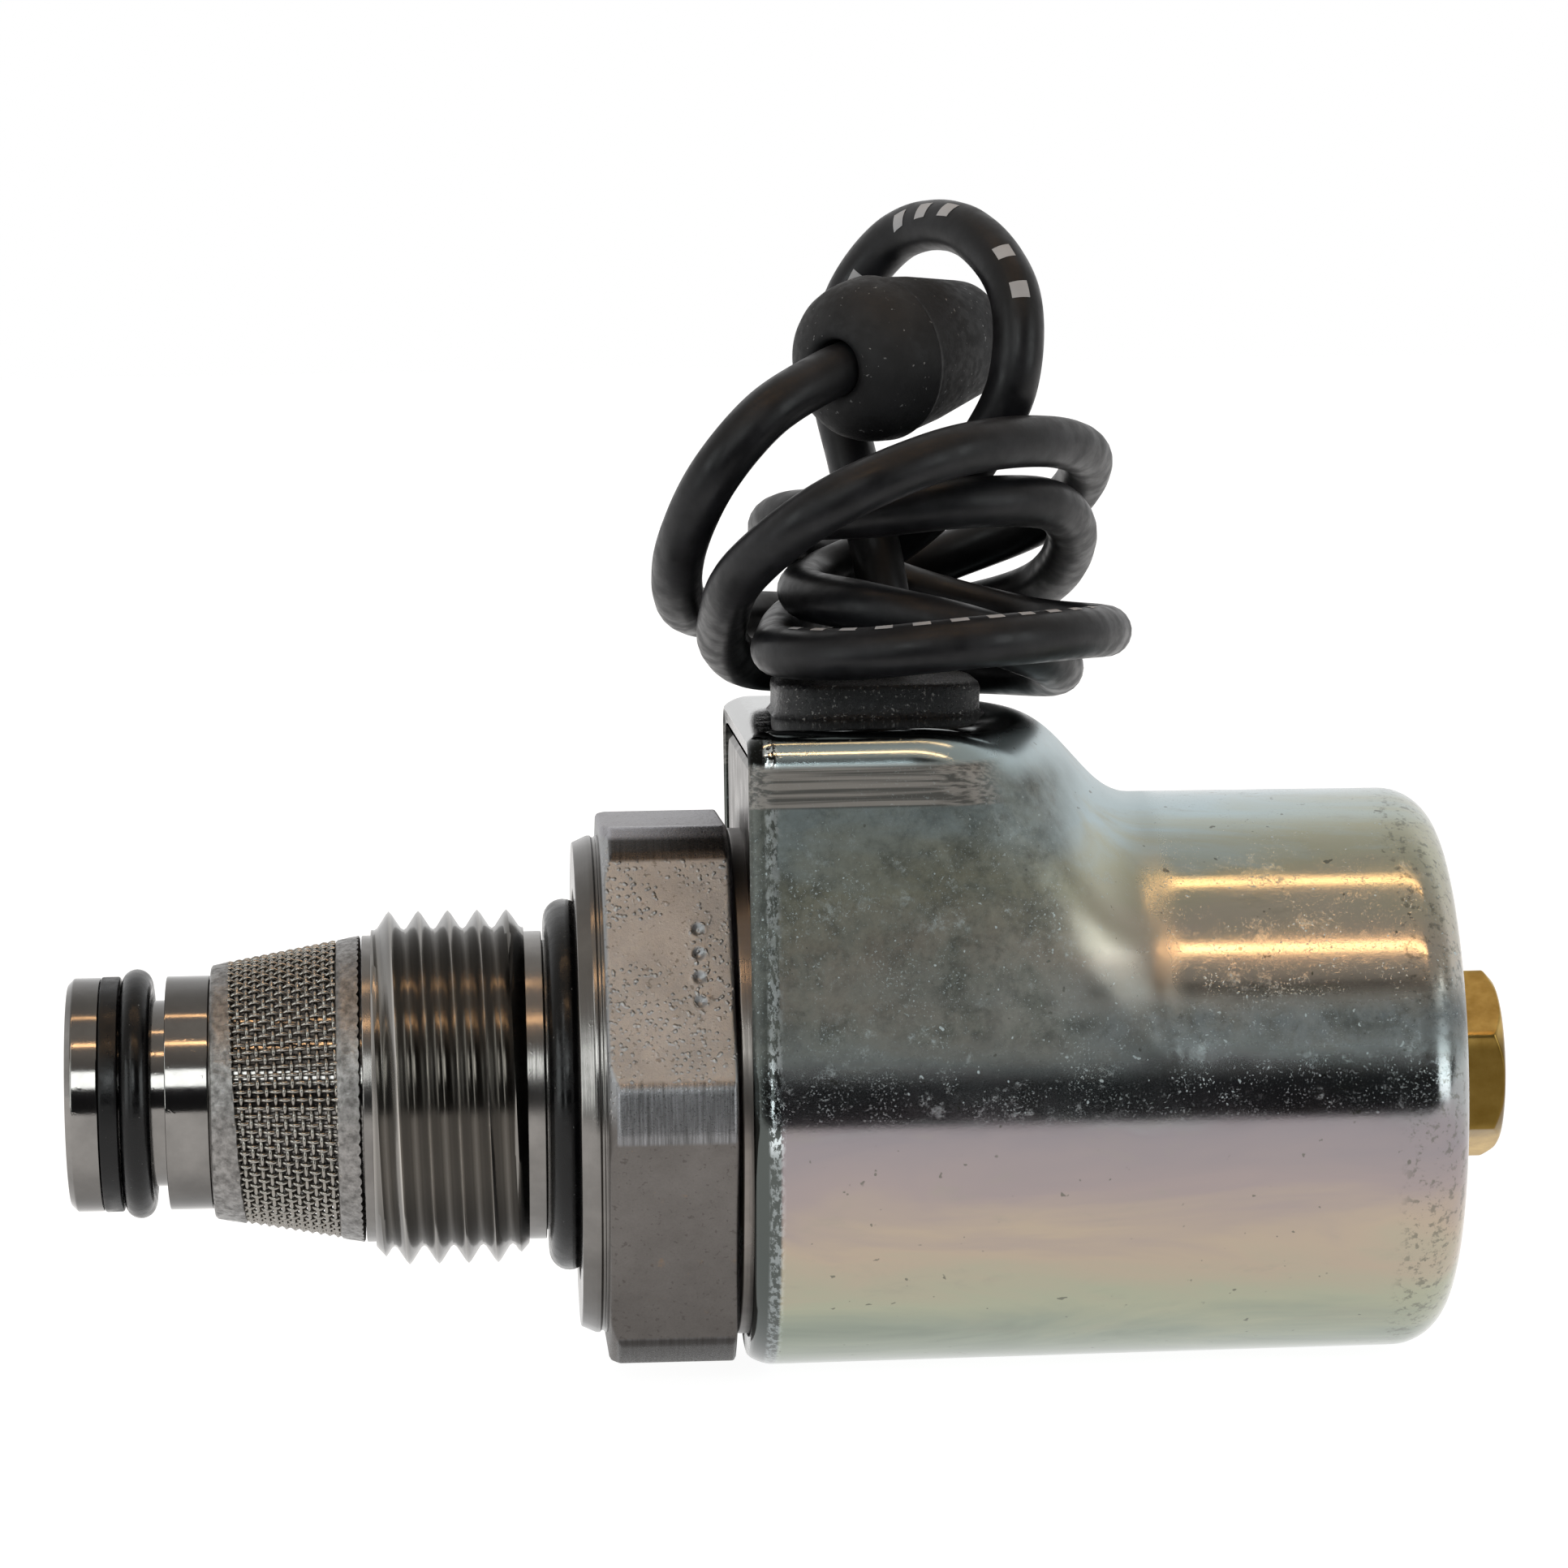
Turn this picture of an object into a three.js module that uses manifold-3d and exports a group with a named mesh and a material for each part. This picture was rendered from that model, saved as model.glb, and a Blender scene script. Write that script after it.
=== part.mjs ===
// A screw-in solenoid cartridge valve with its coil.
//
// Millimetres. The valve's axis is X and the seat, the face that meets the manifold block, is
// the plane X = 0. The nose points along -X and goes into the cavity, the coil stands on the
// +X side, and the coil's lead leaves its boss along +Z.
import * as THREE from 'three';
import { mergeVertices } from 'three/addons/utils/BufferGeometryUtils.js';
import Module from 'manifold-3d';

const wasm = await Module();
wasm.setup();

// ---- Driving dimensions ------------------------------------------------------------------

const INCH = 25.4;
const ROUND = 36; // sides of a turned piece, the same on all so that running gaps stay even
const SMALL_ROUND = 18; // sides of a small turned piece
const FIT = 0.06; // radial clearance between a turned piece and its bore
const GAP = 0.3; // clearance between faces that touch on the real object
const CLEAR = 0.1; // clearance between inner pieces that lie against each other
const OVERLAP = 0.2; // how far the solids of one piece run into each other

// The cavity side: a 3/4-16 straight-thread port and a 12.7 mm nose bore.
const THREAD = {
  radius: (0.75 * INCH) / 2, pitch: INCH / 16, depth: 1.0, start: -10.9, end: -2.7,
  leadIn: 1.0, runOut: 0.9, phase: 0.6, crestRoom: 0.1,
};
const NOSE = { tip: -27.2, land: 6.28, chamfer: 0.35, groove: 5.0, grooveStart: -25.45, grooveEnd: -21.9 };
const NOSE_RING = { start: -25.4, end: -24.4, outer: 6.32 };
const NOSE_SEAL = { centre: -23.5, section: 1.64 };
const SCREEN = {
  start: -19.5, end: -11.5, front: 6.8, rear: 8.25, frontBand: 1.2, rearBand: 1.3,
  frontDepth: 0.65, meshDepth: 0.4, rearDepth: 0.8, collar: 6.05,
};
const CAGE = {
  shank: 5.7, port: 3.2, bore: 4.2, seatStep: -22.8, end: 1.0, holeRadius: 1.7, holes: 6, holesAt: -16.1,
};
const SEAT_INSERT = { length: 2.0, bore: 2.2, mouth: 3.4, step: 0.8 };
const FRONT_NECK = { radius: 8.25, start: -11.4 };
const RELIEF = { radius: 8.3, end: -1.75 }; // between the thread and the port seal's groove
const PORT_SEAL = { centre: -0.55, section: 2.15, groove: 7.8 };
const SEAT = { radius: 13.4, rim: 13.04, chamfer: 0.8, recess: 10.6, recessDepth: 0.6 };
// Each bevel is how deep the cone at that end cuts into the turned corners. turn is in degrees.
const HEX = {
  acrossFlats: 1.125 * INCH, corner: 15.8, frontBevel: 0.6, backBevel: 0.2, bevelSlope: 1.15,
  start: 1.4, end: 8.1, turn: -1.4,
};

// The guide tube and what slides in it.
const TUBE = { outer: 12.7 / 2, inner: 5.3, start: 1.3, end: 44.8 };
const TUBE_SEAL = { start: 3.2, end: 4.5, depth: 1.1, section: 1.0 };
const TUBE_CLIP = { start: 6.5, end: 7.2, depth: 0.9 };
const POLE = { start: 26.2, studRadius: 2.4, studEnd: 49.6, studChamfer: 0.4 };
const PLUNGER = { radius: 5.2, start: 3.0, end: 24.0, chamfer: 0.5, pocket: 2.9, pocketStart: 17.0 };
const PIN = { radius: 1.4, start: -9.2, point: 0.9, socket: 5.0 };
const POPPET = {
  radius: 4.1, start: -21.6, tip: 1.9, nose: -19.6, cone: 3.5, chamfer: 0.2, end: -9.5,
  orifice: 0.5, funnel: 2.2, funnelDepth: 1.2,
};
const SPRING = { radius: 2.2, wire: 0.3, turns: 7, start: 17.4, end: 25.9 };

// The coil: a drawn steel can with a flat-sided boss for the lead.
const CAN = { open: 15.35, closed: 15.1, start: 8.9, end: 46.6, wall: 1.5, endRadius: 2.8, studHole: 2.65 };
// Its end face leans back over the can and is rounded in plan. roll and fillet soften its edges.
const BOSS = { top: 19.9, edge: 2.2, end: 25.6, lean: 0.6, planRound: 5.5, roll: 4.0, fillet: 3.0 };
const FLUX_PLATE = { discStart: 8.35, start: 9.1, end: 10.0, halfWidth: 13.65, top: 17.9 };
const BOBBIN = { start: 10.3, end: 44.5, bore: 6.45, core: 7.3, flange: 12.9, flangeThickness: 1.2 };
const WINDING = { inner: 7.4, outer: 12.3, tape: 12.6 };
const GROMMET = { start: 11.0, end: 21.9, halfDepth: 5.45, corner: 2.4, height: 1.8, neck: 0.8 };
const POTTING = { start: 11.4, end: 21.2, halfDepth: 7.6, bottom: 14.2, top: 17.6 };
const SPLICE = { start: 13.3, end: 19.0, radius: 1.1, slotHalf: 1.7, slotHeight: 2.0, slotInset: 1.5 };
const NUT = {
  acrossFlats: 9.0, start: 47.3, end: 49.9, chamfer: 0.9, chamferLength: 0.5, bore: 2.48, turn: -24.5,
};
const WASHER = { start: 46.7, end: 47.2, radius: 4.3, bore: 2.6 };

// The lead and its rubber boot. The boot lies across the top loop of the lead.
const LEAD_DIAMETER = 2.75;
// Its profile, and its contact's, are [distance, radius] from the end that the lead goes in at.
const BOOT = { near: [14.0, -4.7, 38.4], direction: [0.68, 0.72, 0.12] };
const WIRE_HOLE = LEAD_DIAMETER / 2 + 0.1;
const BOOT_PROFILE = [
  [0.5, WIRE_HOLE], [0.5, 2.0], [0.8, 3.0], [1.4, 3.85], [2.5, 4.35], [4.0, 4.45], [4.2, 4.33],
  [11.5, 3.15], [11.5, 2.3], [6.5, 2.3], [6.5, WIRE_HOLE],
];
const TERMINAL_PROFILE = [
  [2.5, 0], [2.5, 1.2], [6.7, 1.2], [6.7, 1.9], [10.6, 1.9], [11.3, 1.2], [11.3, 0],
];
const LEAD_ROUTE = [
  // out of the grommet, up, and over the boot in a loop
  [17.1, 0, 22.0], [17.2, 0.4, 24.8], [16.8, 1.3, 28.2], [15.7, 3.4, 33.2], [15.0, 6.2, 38.0],
  [16.0, 7.5, 42.2], [18.6, 5.6, 45.4], [21.8, 1.0, 45.6], [24.0, -3.4, 42.2], [23.8, -4.4, 37.6],
  // down behind the rising lead and once round the grommet
  [22.0, -1.6, 33.6], [19.9, 2.8, 30.6], [17.2, 5.0, 28.4], [13.8, 3.2, 27.0], [12.7, -2.4, 26.4],
  [15.6, -7.4, 25.9], [20.6, -8.3, 24.7], [25.2, -4.0, 22.9], [26.4, 2.5, 21.7], [22.6, 9.6, 21.4],
  [15.6, 11.7, 21.5], [10.6, 9.0, 21.9],
  // the high, tilted turn
  [8.7, 3.8, 23.2], [8.3, -2.3, 25.2], [9.2, -8.6, 28.0], [13.2, -12.3, 31.4], [19.3, -10.9, 33.9],
  [25.3, -5.4, 34.4], [28.3, 1.6, 33.1], [26.8, 8.4, 30.0], [21.0, 12.0, 27.4],
  // the level turn on the boss
  [15.0, 10.8, 25.3], [12.3, 4.5, 24.5], [11.3, -1.6, 23.8], [11.2, -7.0, 23.6], [14.8, -11.4, 23.7],
  [21.0, -11.8, 24.2], [26.9, -7.2, 24.3], [28.9, 0.5, 24.0], [25.2, 7.0, 24.2],
  // the inner turn
  [19.0, 9.0, 25.9], [13.6, 7.6, 28.2], [11.3, 2.2, 29.6], [12.0, -3.6, 30.6], [15.8, -7.4, 30.9],
  [20.8, -7.4, 31.3], [25.6, -3.8, 31.0], [27.5, 2.8, 28.8],
  // the outer turn, then up the near side into the boot
  [25.9, 10.4, 25.7], [18.8, 13.9, 24.0], [11.8, 12.2, 24.4], [7.4, 6.5, 25.0], [6.0, 0.4, 26.4],
  [6.1, -4.8, 29.4], [7.7, -7.8, 33.0], [10.4, -7.8, 36.1], [13.7, -5.2, 38.0],
];

// ---- Geometry helpers --------------------------------------------------------------------

/** Merge coincident vertices and drop the triangles that collapse at a pole. */
function weld(geometry) {
  const bare = geometry.clone();
  bare.deleteAttribute('normal');
  bare.deleteAttribute('uv');
  const merged = mergeVertices(bare, 1e-4);
  const index = merged.getIndex().array;
  const kept = [];
  for (let i = 0; i < index.length; i += 3) {
    const [a, b, c] = [index[i], index[i + 1], index[i + 2]];
    if (a !== b && b !== c && c !== a) kept.push(a, b, c);
  }
  merged.setIndex(kept);
  return merged;
}

/** A geometry from a flat list of coordinates and a list of triangle corners. */
function indexed(positions, index) {
  const geometry = new THREE.BufferGeometry();
  geometry.setAttribute('position', new THREE.Float32BufferAttribute(positions, 3));
  geometry.setIndex(index);
  return geometry;
}

/** A three.js geometry as a manifold solid, for joining and cutting. */
function solid(geometry) {
  const welded = weld(geometry);
  const vertProperties = new Float32Array(welded.getAttribute('position').array);
  const triVerts = new Uint32Array(welded.getIndex().array);
  return new wasm.Manifold(new wasm.Mesh({ numProp: 3, vertProperties, triVerts }));
}

/** A manifold solid as a three.js geometry. */
function geometryOf(manifold) {
  const mesh = manifold.getMesh();
  const geometry = new THREE.BufferGeometry();
  geometry.setAttribute('position', new THREE.BufferAttribute(mesh.vertProperties, 3));
  geometry.setIndex(new THREE.BufferAttribute(mesh.triVerts, 1));
  return geometry;
}

/** Join the first solid with the others. */
function join(first, ...others) {
  return others.reduce((whole, other) => whole.add(other), first);
}

/** Cut each of the tools out of a body. */
function cut(body, ...tools) {
  return tools.reduce((rest, tool) => rest.subtract(tool), body);
}

/** Turn a closed profile of [x, radius] points about the X axis. */
function turned(profile, sides = ROUND) {
  let area = 0;
  profile.forEach(([x, r], i) => {
    const [nextX, nextR] = profile[(i + 1) % profile.length];
    area += r * nextX - nextR * x;
  });
  const ordered = area > 0 ? profile : [...profile].reverse();
  const points = ordered.map(([x, r]) => new THREE.Vector2(r, x));
  const touchesAxis = profile.some(([, r]) => r === 0);
  if (touchesAxis) {
    while (!(points[0].x === 0 && points[points.length - 1].x === 0)) points.push(points.shift());
  } else {
    points.push(points[0].clone());
  }
  return new THREE.LatheGeometry(points, sides).rotateZ(-Math.PI / 2);
}

/** A ring of rectangular section. */
function ring(start, end, inner, outer, sides = ROUND) {
  return turned([[start, inner], [start, outer], [end, outer], [end, inner]], sides);
}

/** A plain rod on the X axis. */
function rod(start, end, radius, sides = ROUND) {
  return turned([[start, 0], [start, radius], [end, radius], [end, 0]], sides);
}

/** An O-ring round the X axis. */
function oRing(centre, innerRadius, section) {
  const torus = new THREE.TorusGeometry(innerRadius + section / 2, section / 2, 8, ROUND);
  return torus.rotateY(Math.PI / 2).translate(centre, 0, 0);
}

/** A box between two corners. */
function block([x0, y0, z0], [x1, y1, z1]) {
  const box = new THREE.BoxGeometry(x1 - x0, y1 - y0, z1 - z0);
  return box.translate((x0 + x1) / 2, (y0 + y1) / 2, (z0 + z1) / 2);
}

/** A hexagonal bar on the X axis. Its corners point along Y, turned by the given angle. */
function hexBar(start, end, acrossFlats, turn = 0) {
  const cornerRadius = acrossFlats / Math.sqrt(3);
  const corners = [];
  for (let i = 0; i < 6; i++) {
    const angle = turn + (i * Math.PI) / 3;
    corners.push(new THREE.Vector2(cornerRadius * Math.cos(angle), cornerRadius * Math.sin(angle)));
  }
  return prism(new THREE.Shape(corners), start, end);
}

/** Extrude a shape drawn in (y, z) from one X to another. */
function prism(shape, start, end) {
  const extruded = new THREE.ExtrudeGeometry(shape, {
    depth: end - start, bevelEnabled: false, steps: 1, curveSegments: 6,
  });
  // (shape x, shape y, depth) becomes (y, z, x)
  const toAxis = new THREE.Matrix4().makeBasis(
    new THREE.Vector3(0, 1, 0), new THREE.Vector3(0, 0, 1), new THREE.Vector3(1, 0, 0));
  return extruded.applyMatrix4(toAxis).translate(start, 0, 0);
}

/** A tube of regular section along a smooth curve through the points. */
function tubeAlong(points, radius, sides, steps) {
  const places = points.map((point) => new THREE.Vector3(...point));
  const curve = new THREE.CatmullRomCurve3(places, false, 'centripetal');
  const section = new THREE.Shape();
  for (let i = 0; i < sides; i++) {
    const angle = (i * 2 * Math.PI) / sides;
    const corner = [radius * Math.cos(angle), radius * Math.sin(angle)];
    if (i === 0) section.moveTo(...corner);
    else section.lineTo(...corner);
  }
  return new THREE.ExtrudeGeometry(section, { steps, extrudePath: curve, bevelEnabled: false });
}

/** A right-hand V thread on the X axis: a closed screw with open-thread ends, to be trimmed. */
function threadedScrew(start, end, crest, root, pitch, phase) {
  const rows = 2 * Math.ceil((end - start) / pitch) + 6;
  const lastRow = rows - 3;
  const first = start - 1.5 * pitch + phase;
  const positions = [];
  for (let row = 0; row < rows; row++) {
    const radius = row % 2 ? crest : root;
    for (let side = 0; side < ROUND; side++) {
      const turn = side / ROUND;
      const angle = turn * 2 * Math.PI;
      const x = first + (row / 2 + turn) * pitch;
      positions.push(x, radius * Math.cos(angle), radius * Math.sin(angle));
    }
  }
  const frontCentre = rows * ROUND;
  const backCentre = frontCentre + 1;
  positions.push(first, 0, 0, first + (rows / 2) * pitch, 0, 0);
  // One turn along the screw is two rows further on, so the last side joins two rows up.
  const at = (row, side) => (side < ROUND ? row * ROUND + side : (row + 2) * ROUND);
  const index = [];
  for (let side = 0; side < ROUND; side++) {
    for (let row = 0; row < lastRow; row++) {
      const [a, b, c, d] = [at(row, side), at(row, side + 1), at(row + 1, side + 1), at(row + 1, side)];
      index.push(a, b, c, a, c, d);
    }
    index.push(frontCentre, at(0, side + 1), at(0, side));
    index.push(backCentre, at(lastRow, side), at(lastRow, side + 1));
  }
  for (const row of [0, 1]) {
    index.push(frontCentre, at(row, 0), at(row + 1, 0));
    index.push(backCentre, at(lastRow + row + 1, 0), at(lastRow + row, 0));
  }
  return indexed(positions, index);
}

// ---- The coil can's section --------------------------------------------------------------

const CORNER_STEPS = 5;
const FLANK_STEPS = 4;
const TOP_STEPS = 4;
const BELLY_STEPS = 18;

/** The boss's outline in (y, z): a half round below the axis, flat flanks and a flat top. */
function bossOutline(halfWidth, top, edge) {
  const points = [];
  for (let i = 0; i < BELLY_STEPS; i++) {
    const angle = Math.PI + (i * Math.PI) / BELLY_STEPS;
    points.push([halfWidth * Math.cos(angle), halfWidth * Math.sin(angle)]);
  }
  const half = [];
  for (let i = 0; i < FLANK_STEPS; i++) half.push([halfWidth, ((top - edge) * i) / FLANK_STEPS]);
  for (let i = 0; i < CORNER_STEPS; i++) {
    const angle = (i * Math.PI) / 2 / CORNER_STEPS;
    half.push([halfWidth - edge + edge * Math.cos(angle), top - edge + edge * Math.sin(angle)]);
  }
  const flat = 2 * (halfWidth - edge);
  for (let i = 0; i < TOP_STEPS / 2; i++) half.push([halfWidth - edge - (flat * i) / TOP_STEPS, top]);
  const mirrored = half.slice(1).reverse().map(([y, z]) => [-y, z]);
  return [...points, ...half, [0, top], ...mirrored];
}

/** The smaller of two lengths, rounded where they cross. */
function softMin(a, b, width) {
  const near = Math.max(0, 1 - Math.abs(a - b) / width);
  return Math.min(a, b) - (near ** 2 * width) / 4;
}

/** How far out from the axis the boss's end face is at X, in the direction (across, up). */
function endFaceReach(x, across, up, radius) {
  const room = BOSS.end + BOSS.lean * BOSS.top - x;
  if (room <= 0) return 0;
  const fall = BOSS.lean * up;
  const curve = BOSS.planRound * (across / radius) ** 2;
  return (2 * room) / (fall + Math.sqrt(fall ** 2 + 4 * curve * room));
}

/** The can's radius at X, with the draft that lets it leave its die. */
function canRadius(x) {
  return THREE.MathUtils.mapLinear(x, CAN.start, CAN.end, CAN.open, CAN.closed);
}

/** The can's section at X, set in by a wall thickness: the boss, ended by its face, on the round can. */
function canSection(x, inset) {
  const radius = canRadius(x) - inset;
  const faceX = x + inset * Math.hypot(1, BOSS.lean);
  const outline = bossOutline(radius, BOSS.top - inset, BOSS.edge - inset * 0.9);
  return outline.map(([y, z]) => {
    const reach = Math.hypot(y, z);
    const proud = reach - radius;
    if (proud < 1e-6) return [y, z];
    const face = endFaceReach(faceX, y / reach, z / reach, radius);
    const boss = softMin(reach, face, Math.min(BOSS.roll, 2 * proud));
    const scale = -softMin(-boss, -radius, Math.min(BOSS.fillet, proud)) / reach;
    return [y * scale, z * scale];
  });
}

/** Close a stack of sections, each {x, points}, with fans at both ends. */
function loft(sections) {
  const count = sections[0].points.length;
  const positions = [];
  for (const { x, points } of sections) for (const [y, z] of points) positions.push(x, y, z);
  const index = [];
  for (let s = 0; s < sections.length - 1; s++) {
    for (let i = 0; i < count; i++) {
      const next = (i + 1) % count;
      const [a, b, c, d] = [s * count + i, s * count + next, (s + 1) * count + next, (s + 1) * count + i];
      index.push(a, b, c, a, c, d);
    }
  }
  const first = positions.length / 3;
  const last = first + 1;
  positions.push(sections[0].x, 0, 0, sections[sections.length - 1].x, 0, 0);
  const base = (sections.length - 1) * count;
  for (let i = 0; i < count; i++) {
    const next = (i + 1) % count;
    index.push(first, next, i, last, base + i, base + next);
  }
  return indexed(positions, index);
}

/** The can's outer form or, set in by its wall, its hollow. */
function canForm(start, end, inset, edge) {
  const faceSteps = 13;
  const faceStart = BOSS.end - BOSS.planRound - BOSS.roll;
  const faceEnd = BOSS.end + (BOSS.lean * BOSS.top) / 2 + BOSS.fillet;
  const stations = [start, 15];
  for (let i = 0; i <= faceSteps; i++) {
    stations.push(THREE.MathUtils.mapLinear(i, 0, faceSteps, faceStart, faceEnd));
  }
  stations.push(end - edge);
  const sections = stations.map((x) => ({ x, points: canSection(x, inset) }));
  for (let i = 1; i <= 4; i++) {
    const angle = (i * Math.PI) / 8;
    const x = end - edge + edge * Math.sin(angle);
    const radius = canRadius(end) - inset;
    const scale = (radius - edge + edge * Math.cos(angle)) / radius;
    const points = canSection(end, inset).map(([y, z]) => [y * scale, z * scale]);
    sections.push({ x, points });
  }
  return loft(sections);
}

// ---- Materials ---------------------------------------------------------------------------

function finish(color, metalness, roughness) {
  return new THREE.MeshStandardMaterial({ color, metalness, roughness });
}

const MATERIALS = {
  steel: finish('#8f8983', 1, 0.35),
  groundSteel: finish('#b4b0ab', 1, 0.2),
  springSteel: finish('#a9a7a3', 1, 0.3),
  screenWire: finish('#9c9a96', 1, 0.4),
  zinc: finish('#b9b7a8', 1, 0.28),
  brass: finish('#b08a3e', 1, 0.3),
  copper: finish('#b4663c', 1, 0.4),
  seal: finish('#0c0c0d', 0, 0.35),
  backup: finish('#17181a', 0, 0.45),
  nylon: finish('#23262a', 0, 0.5),
  epoxy: finish('#15161a', 0, 0.45),
  rubber: finish('#1b1b1d', 0, 0.7),
  leadJacket: finish('#161618', 0, 0.45),
};

const valve = new THREE.Group();

/** Add one piece: a named mesh on the given group. */
function piece(name, shape, material, group = valve) {
  const geometry = shape instanceof THREE.BufferGeometry ? weld(shape) : geometryOf(shape);
  const mesh = new THREE.Mesh(geometry, MATERIALS[material]);
  mesh.name = name;
  group.add(mesh);
  return mesh;
}

// ---- The cartridge -----------------------------------------------------------------------

function threadSolid() {
  const { radius, pitch, depth, start, end, leadIn, runOut, phase, crestRoom } = THREAD;
  const screw = solid(threadedScrew(start, end, radius, radius - depth, pitch, phase));
  const envelope = turned([
    [start, 0], [start, radius - depth], [start + leadIn, radius + crestRoom],
    [end - runOut, radius + crestRoom], [end, radius - depth], [end, 0],
  ]);
  return screw.intersect(solid(envelope));
}

function hexSolid() {
  const { corner, frontBevel, backBevel, bevelSlope } = HEX;
  const envelope = turned([
    [HEX.start, 0], [HEX.start, corner - frontBevel], [HEX.start + frontBevel / bevelSlope, corner],
    [HEX.end - backBevel / bevelSlope, corner], [HEX.end, corner - backBevel], [HEX.end, 0],
  ]);
  const bar = hexBar(HEX.start, HEX.end, HEX.acrossFlats, THREE.MathUtils.degToRad(HEX.turn));
  return solid(bar).intersect(solid(envelope));
}

function valveBody() {
  const neck = turned([
    [FRONT_NECK.start, 0], [FRONT_NECK.start, FRONT_NECK.radius],
    [THREAD.start + OVERLAP, FRONT_NECK.radius], [THREAD.start + OVERLAP, PORT_SEAL.groove],
    [THREAD.end - OVERLAP, PORT_SEAL.groove], [THREAD.end - OVERLAP, RELIEF.radius],
    [RELIEF.end, RELIEF.radius], [RELIEF.end, PORT_SEAL.groove],
    [0, PORT_SEAL.groove], [0, SEAT.rim], [SEAT.chamfer, SEAT.radius],
    [HEX.start + OVERLAP, SEAT.radius], [HEX.start + OVERLAP, 0],
  ]);
  const whole = join(solid(neck), threadSolid(), hexSolid());
  const recess = ring(-1, SEAT.recessDepth, PORT_SEAL.groove, SEAT.recess);
  const cageBore = rod(FRONT_NECK.start - 1, CAGE.end + FIT, CAGE.shank + FIT);
  const tubeBore = rod(CAGE.end, HEX.end + 1, TUBE.outer + FIT);
  const sealGroove = ring(TUBE_SEAL.start, TUBE_SEAL.end, TUBE.outer, TUBE.outer + TUBE_SEAL.depth);
  const clipDepth = TUBE.outer + TUBE_CLIP.depth;
  const clipGroove = ring(TUBE_CLIP.start - FIT, TUBE_CLIP.end + FIT, TUBE.outer, clipDepth);
  return cut(whole, ...[recess, cageBore, tubeBore, sealGroove, clipGroove].map(solid));
}

function noseCage() {
  const outer = turned([
    [NOSE.tip, 0], [NOSE.tip, NOSE.land - NOSE.chamfer], [NOSE.tip + NOSE.chamfer, NOSE.land],
    [NOSE.grooveStart, NOSE.land], [NOSE.grooveStart, NOSE.groove], [NOSE.grooveEnd, NOSE.groove],
    [NOSE.grooveEnd, NOSE.land], [SCREEN.start - CLEAR, NOSE.land],
    [SCREEN.start - CLEAR, SCREEN.collar],
    [SCREEN.start + SCREEN.frontBand, SCREEN.collar], [SCREEN.start + SCREEN.frontBand, CAGE.shank],
    [CAGE.end, CAGE.shank], [CAGE.end, 0],
  ]);
  const bore = turned([
    [NOSE.tip - 1, 0], [NOSE.tip - 1, CAGE.port], [CAGE.seatStep, CAGE.port],
    [CAGE.seatStep, CAGE.bore], [CAGE.end + 1, CAGE.bore], [CAGE.end + 1, 0],
  ]);
  const holes = [];
  for (let i = 0; i < CAGE.holes; i++) {
    const drill = new THREE.CylinderGeometry(CAGE.holeRadius, CAGE.holeRadius, 5, 16);
    drill.translate(0, 5, 0).rotateX((i * 2 * Math.PI) / CAGE.holes);
    holes.push(solid(drill.translate(CAGE.holesAt, 0, 0)));
  }
  return cut(solid(outer), solid(bore), ...holes);
}

function seatInsert() {
  const { length, bore, mouth, step } = SEAT_INSERT;
  const start = CAGE.seatStep + CLEAR;
  return turned([
    [start, bore], [start, CAGE.bore - FIT], [start + length, CAGE.bore - FIT], [start + length, mouth],
    [start + step, bore],
  ]);
}

function screenCone(start, end, thickness) {
  const outer = (x) => THREE.MathUtils.mapLinear(x, SCREEN.start, SCREEN.end, SCREEN.front, SCREEN.rear);
  return turned([
    [start, outer(start) - thickness], [start, outer(start)],
    [end, outer(end)], [end, outer(end) - thickness],
  ]);
}

function buildCartridge() {
  const meshStart = SCREEN.start + SCREEN.frontBand;
  const meshEnd = SCREEN.end - SCREEN.rearBand;
  piece('valve_body', valveBody(), 'steel');
  piece('nose_cage', noseCage(), 'steel');
  piece('seat_insert', seatInsert(), 'groundSteel');
  const { start, end, outer } = NOSE_RING;
  piece('nose_backup_ring', ring(start, end, NOSE.groove + FIT, outer), 'backup');
  piece('nose_o_ring', oRing(NOSE_SEAL.centre, NOSE.groove + FIT, NOSE_SEAL.section), 'seal');
  piece('screen_front_band', screenCone(SCREEN.start, meshStart - FIT, SCREEN.frontDepth), 'screenWire');
  piece('screen_mesh', screenCone(meshStart, meshEnd, SCREEN.meshDepth), 'screenWire');
  piece('screen_rear_band', screenCone(meshEnd + FIT, SCREEN.end, SCREEN.rearDepth), 'screenWire');
  piece('port_o_ring', oRing(PORT_SEAL.centre, PORT_SEAL.groove + FIT, PORT_SEAL.section), 'seal');
  const sealCentre = (TUBE_SEAL.start + TUBE_SEAL.end) / 2;
  const clipOuter = TUBE.outer + TUBE_CLIP.depth - FIT;
  piece('tube_o_ring', oRing(sealCentre, TUBE.outer + FIT / 2, TUBE_SEAL.section), 'seal');
  piece('tube_clip', ring(TUBE_CLIP.start, TUBE_CLIP.end, TUBE.outer + FIT / 2, clipOuter), 'springSteel');
}

// ---- The guide tube and its moving parts -------------------------------------------------

function poleSolid() {
  const radius = TUBE.inner - FIT;
  return turned([
    [POLE.start, 0], [POLE.start, radius], [TUBE.end, radius], [TUBE.end, POLE.studRadius],
    [POLE.studEnd - POLE.studChamfer, POLE.studRadius], [POLE.studEnd, POLE.studRadius - POLE.studChamfer],
    [POLE.studEnd, 0],
  ]);
}

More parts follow.
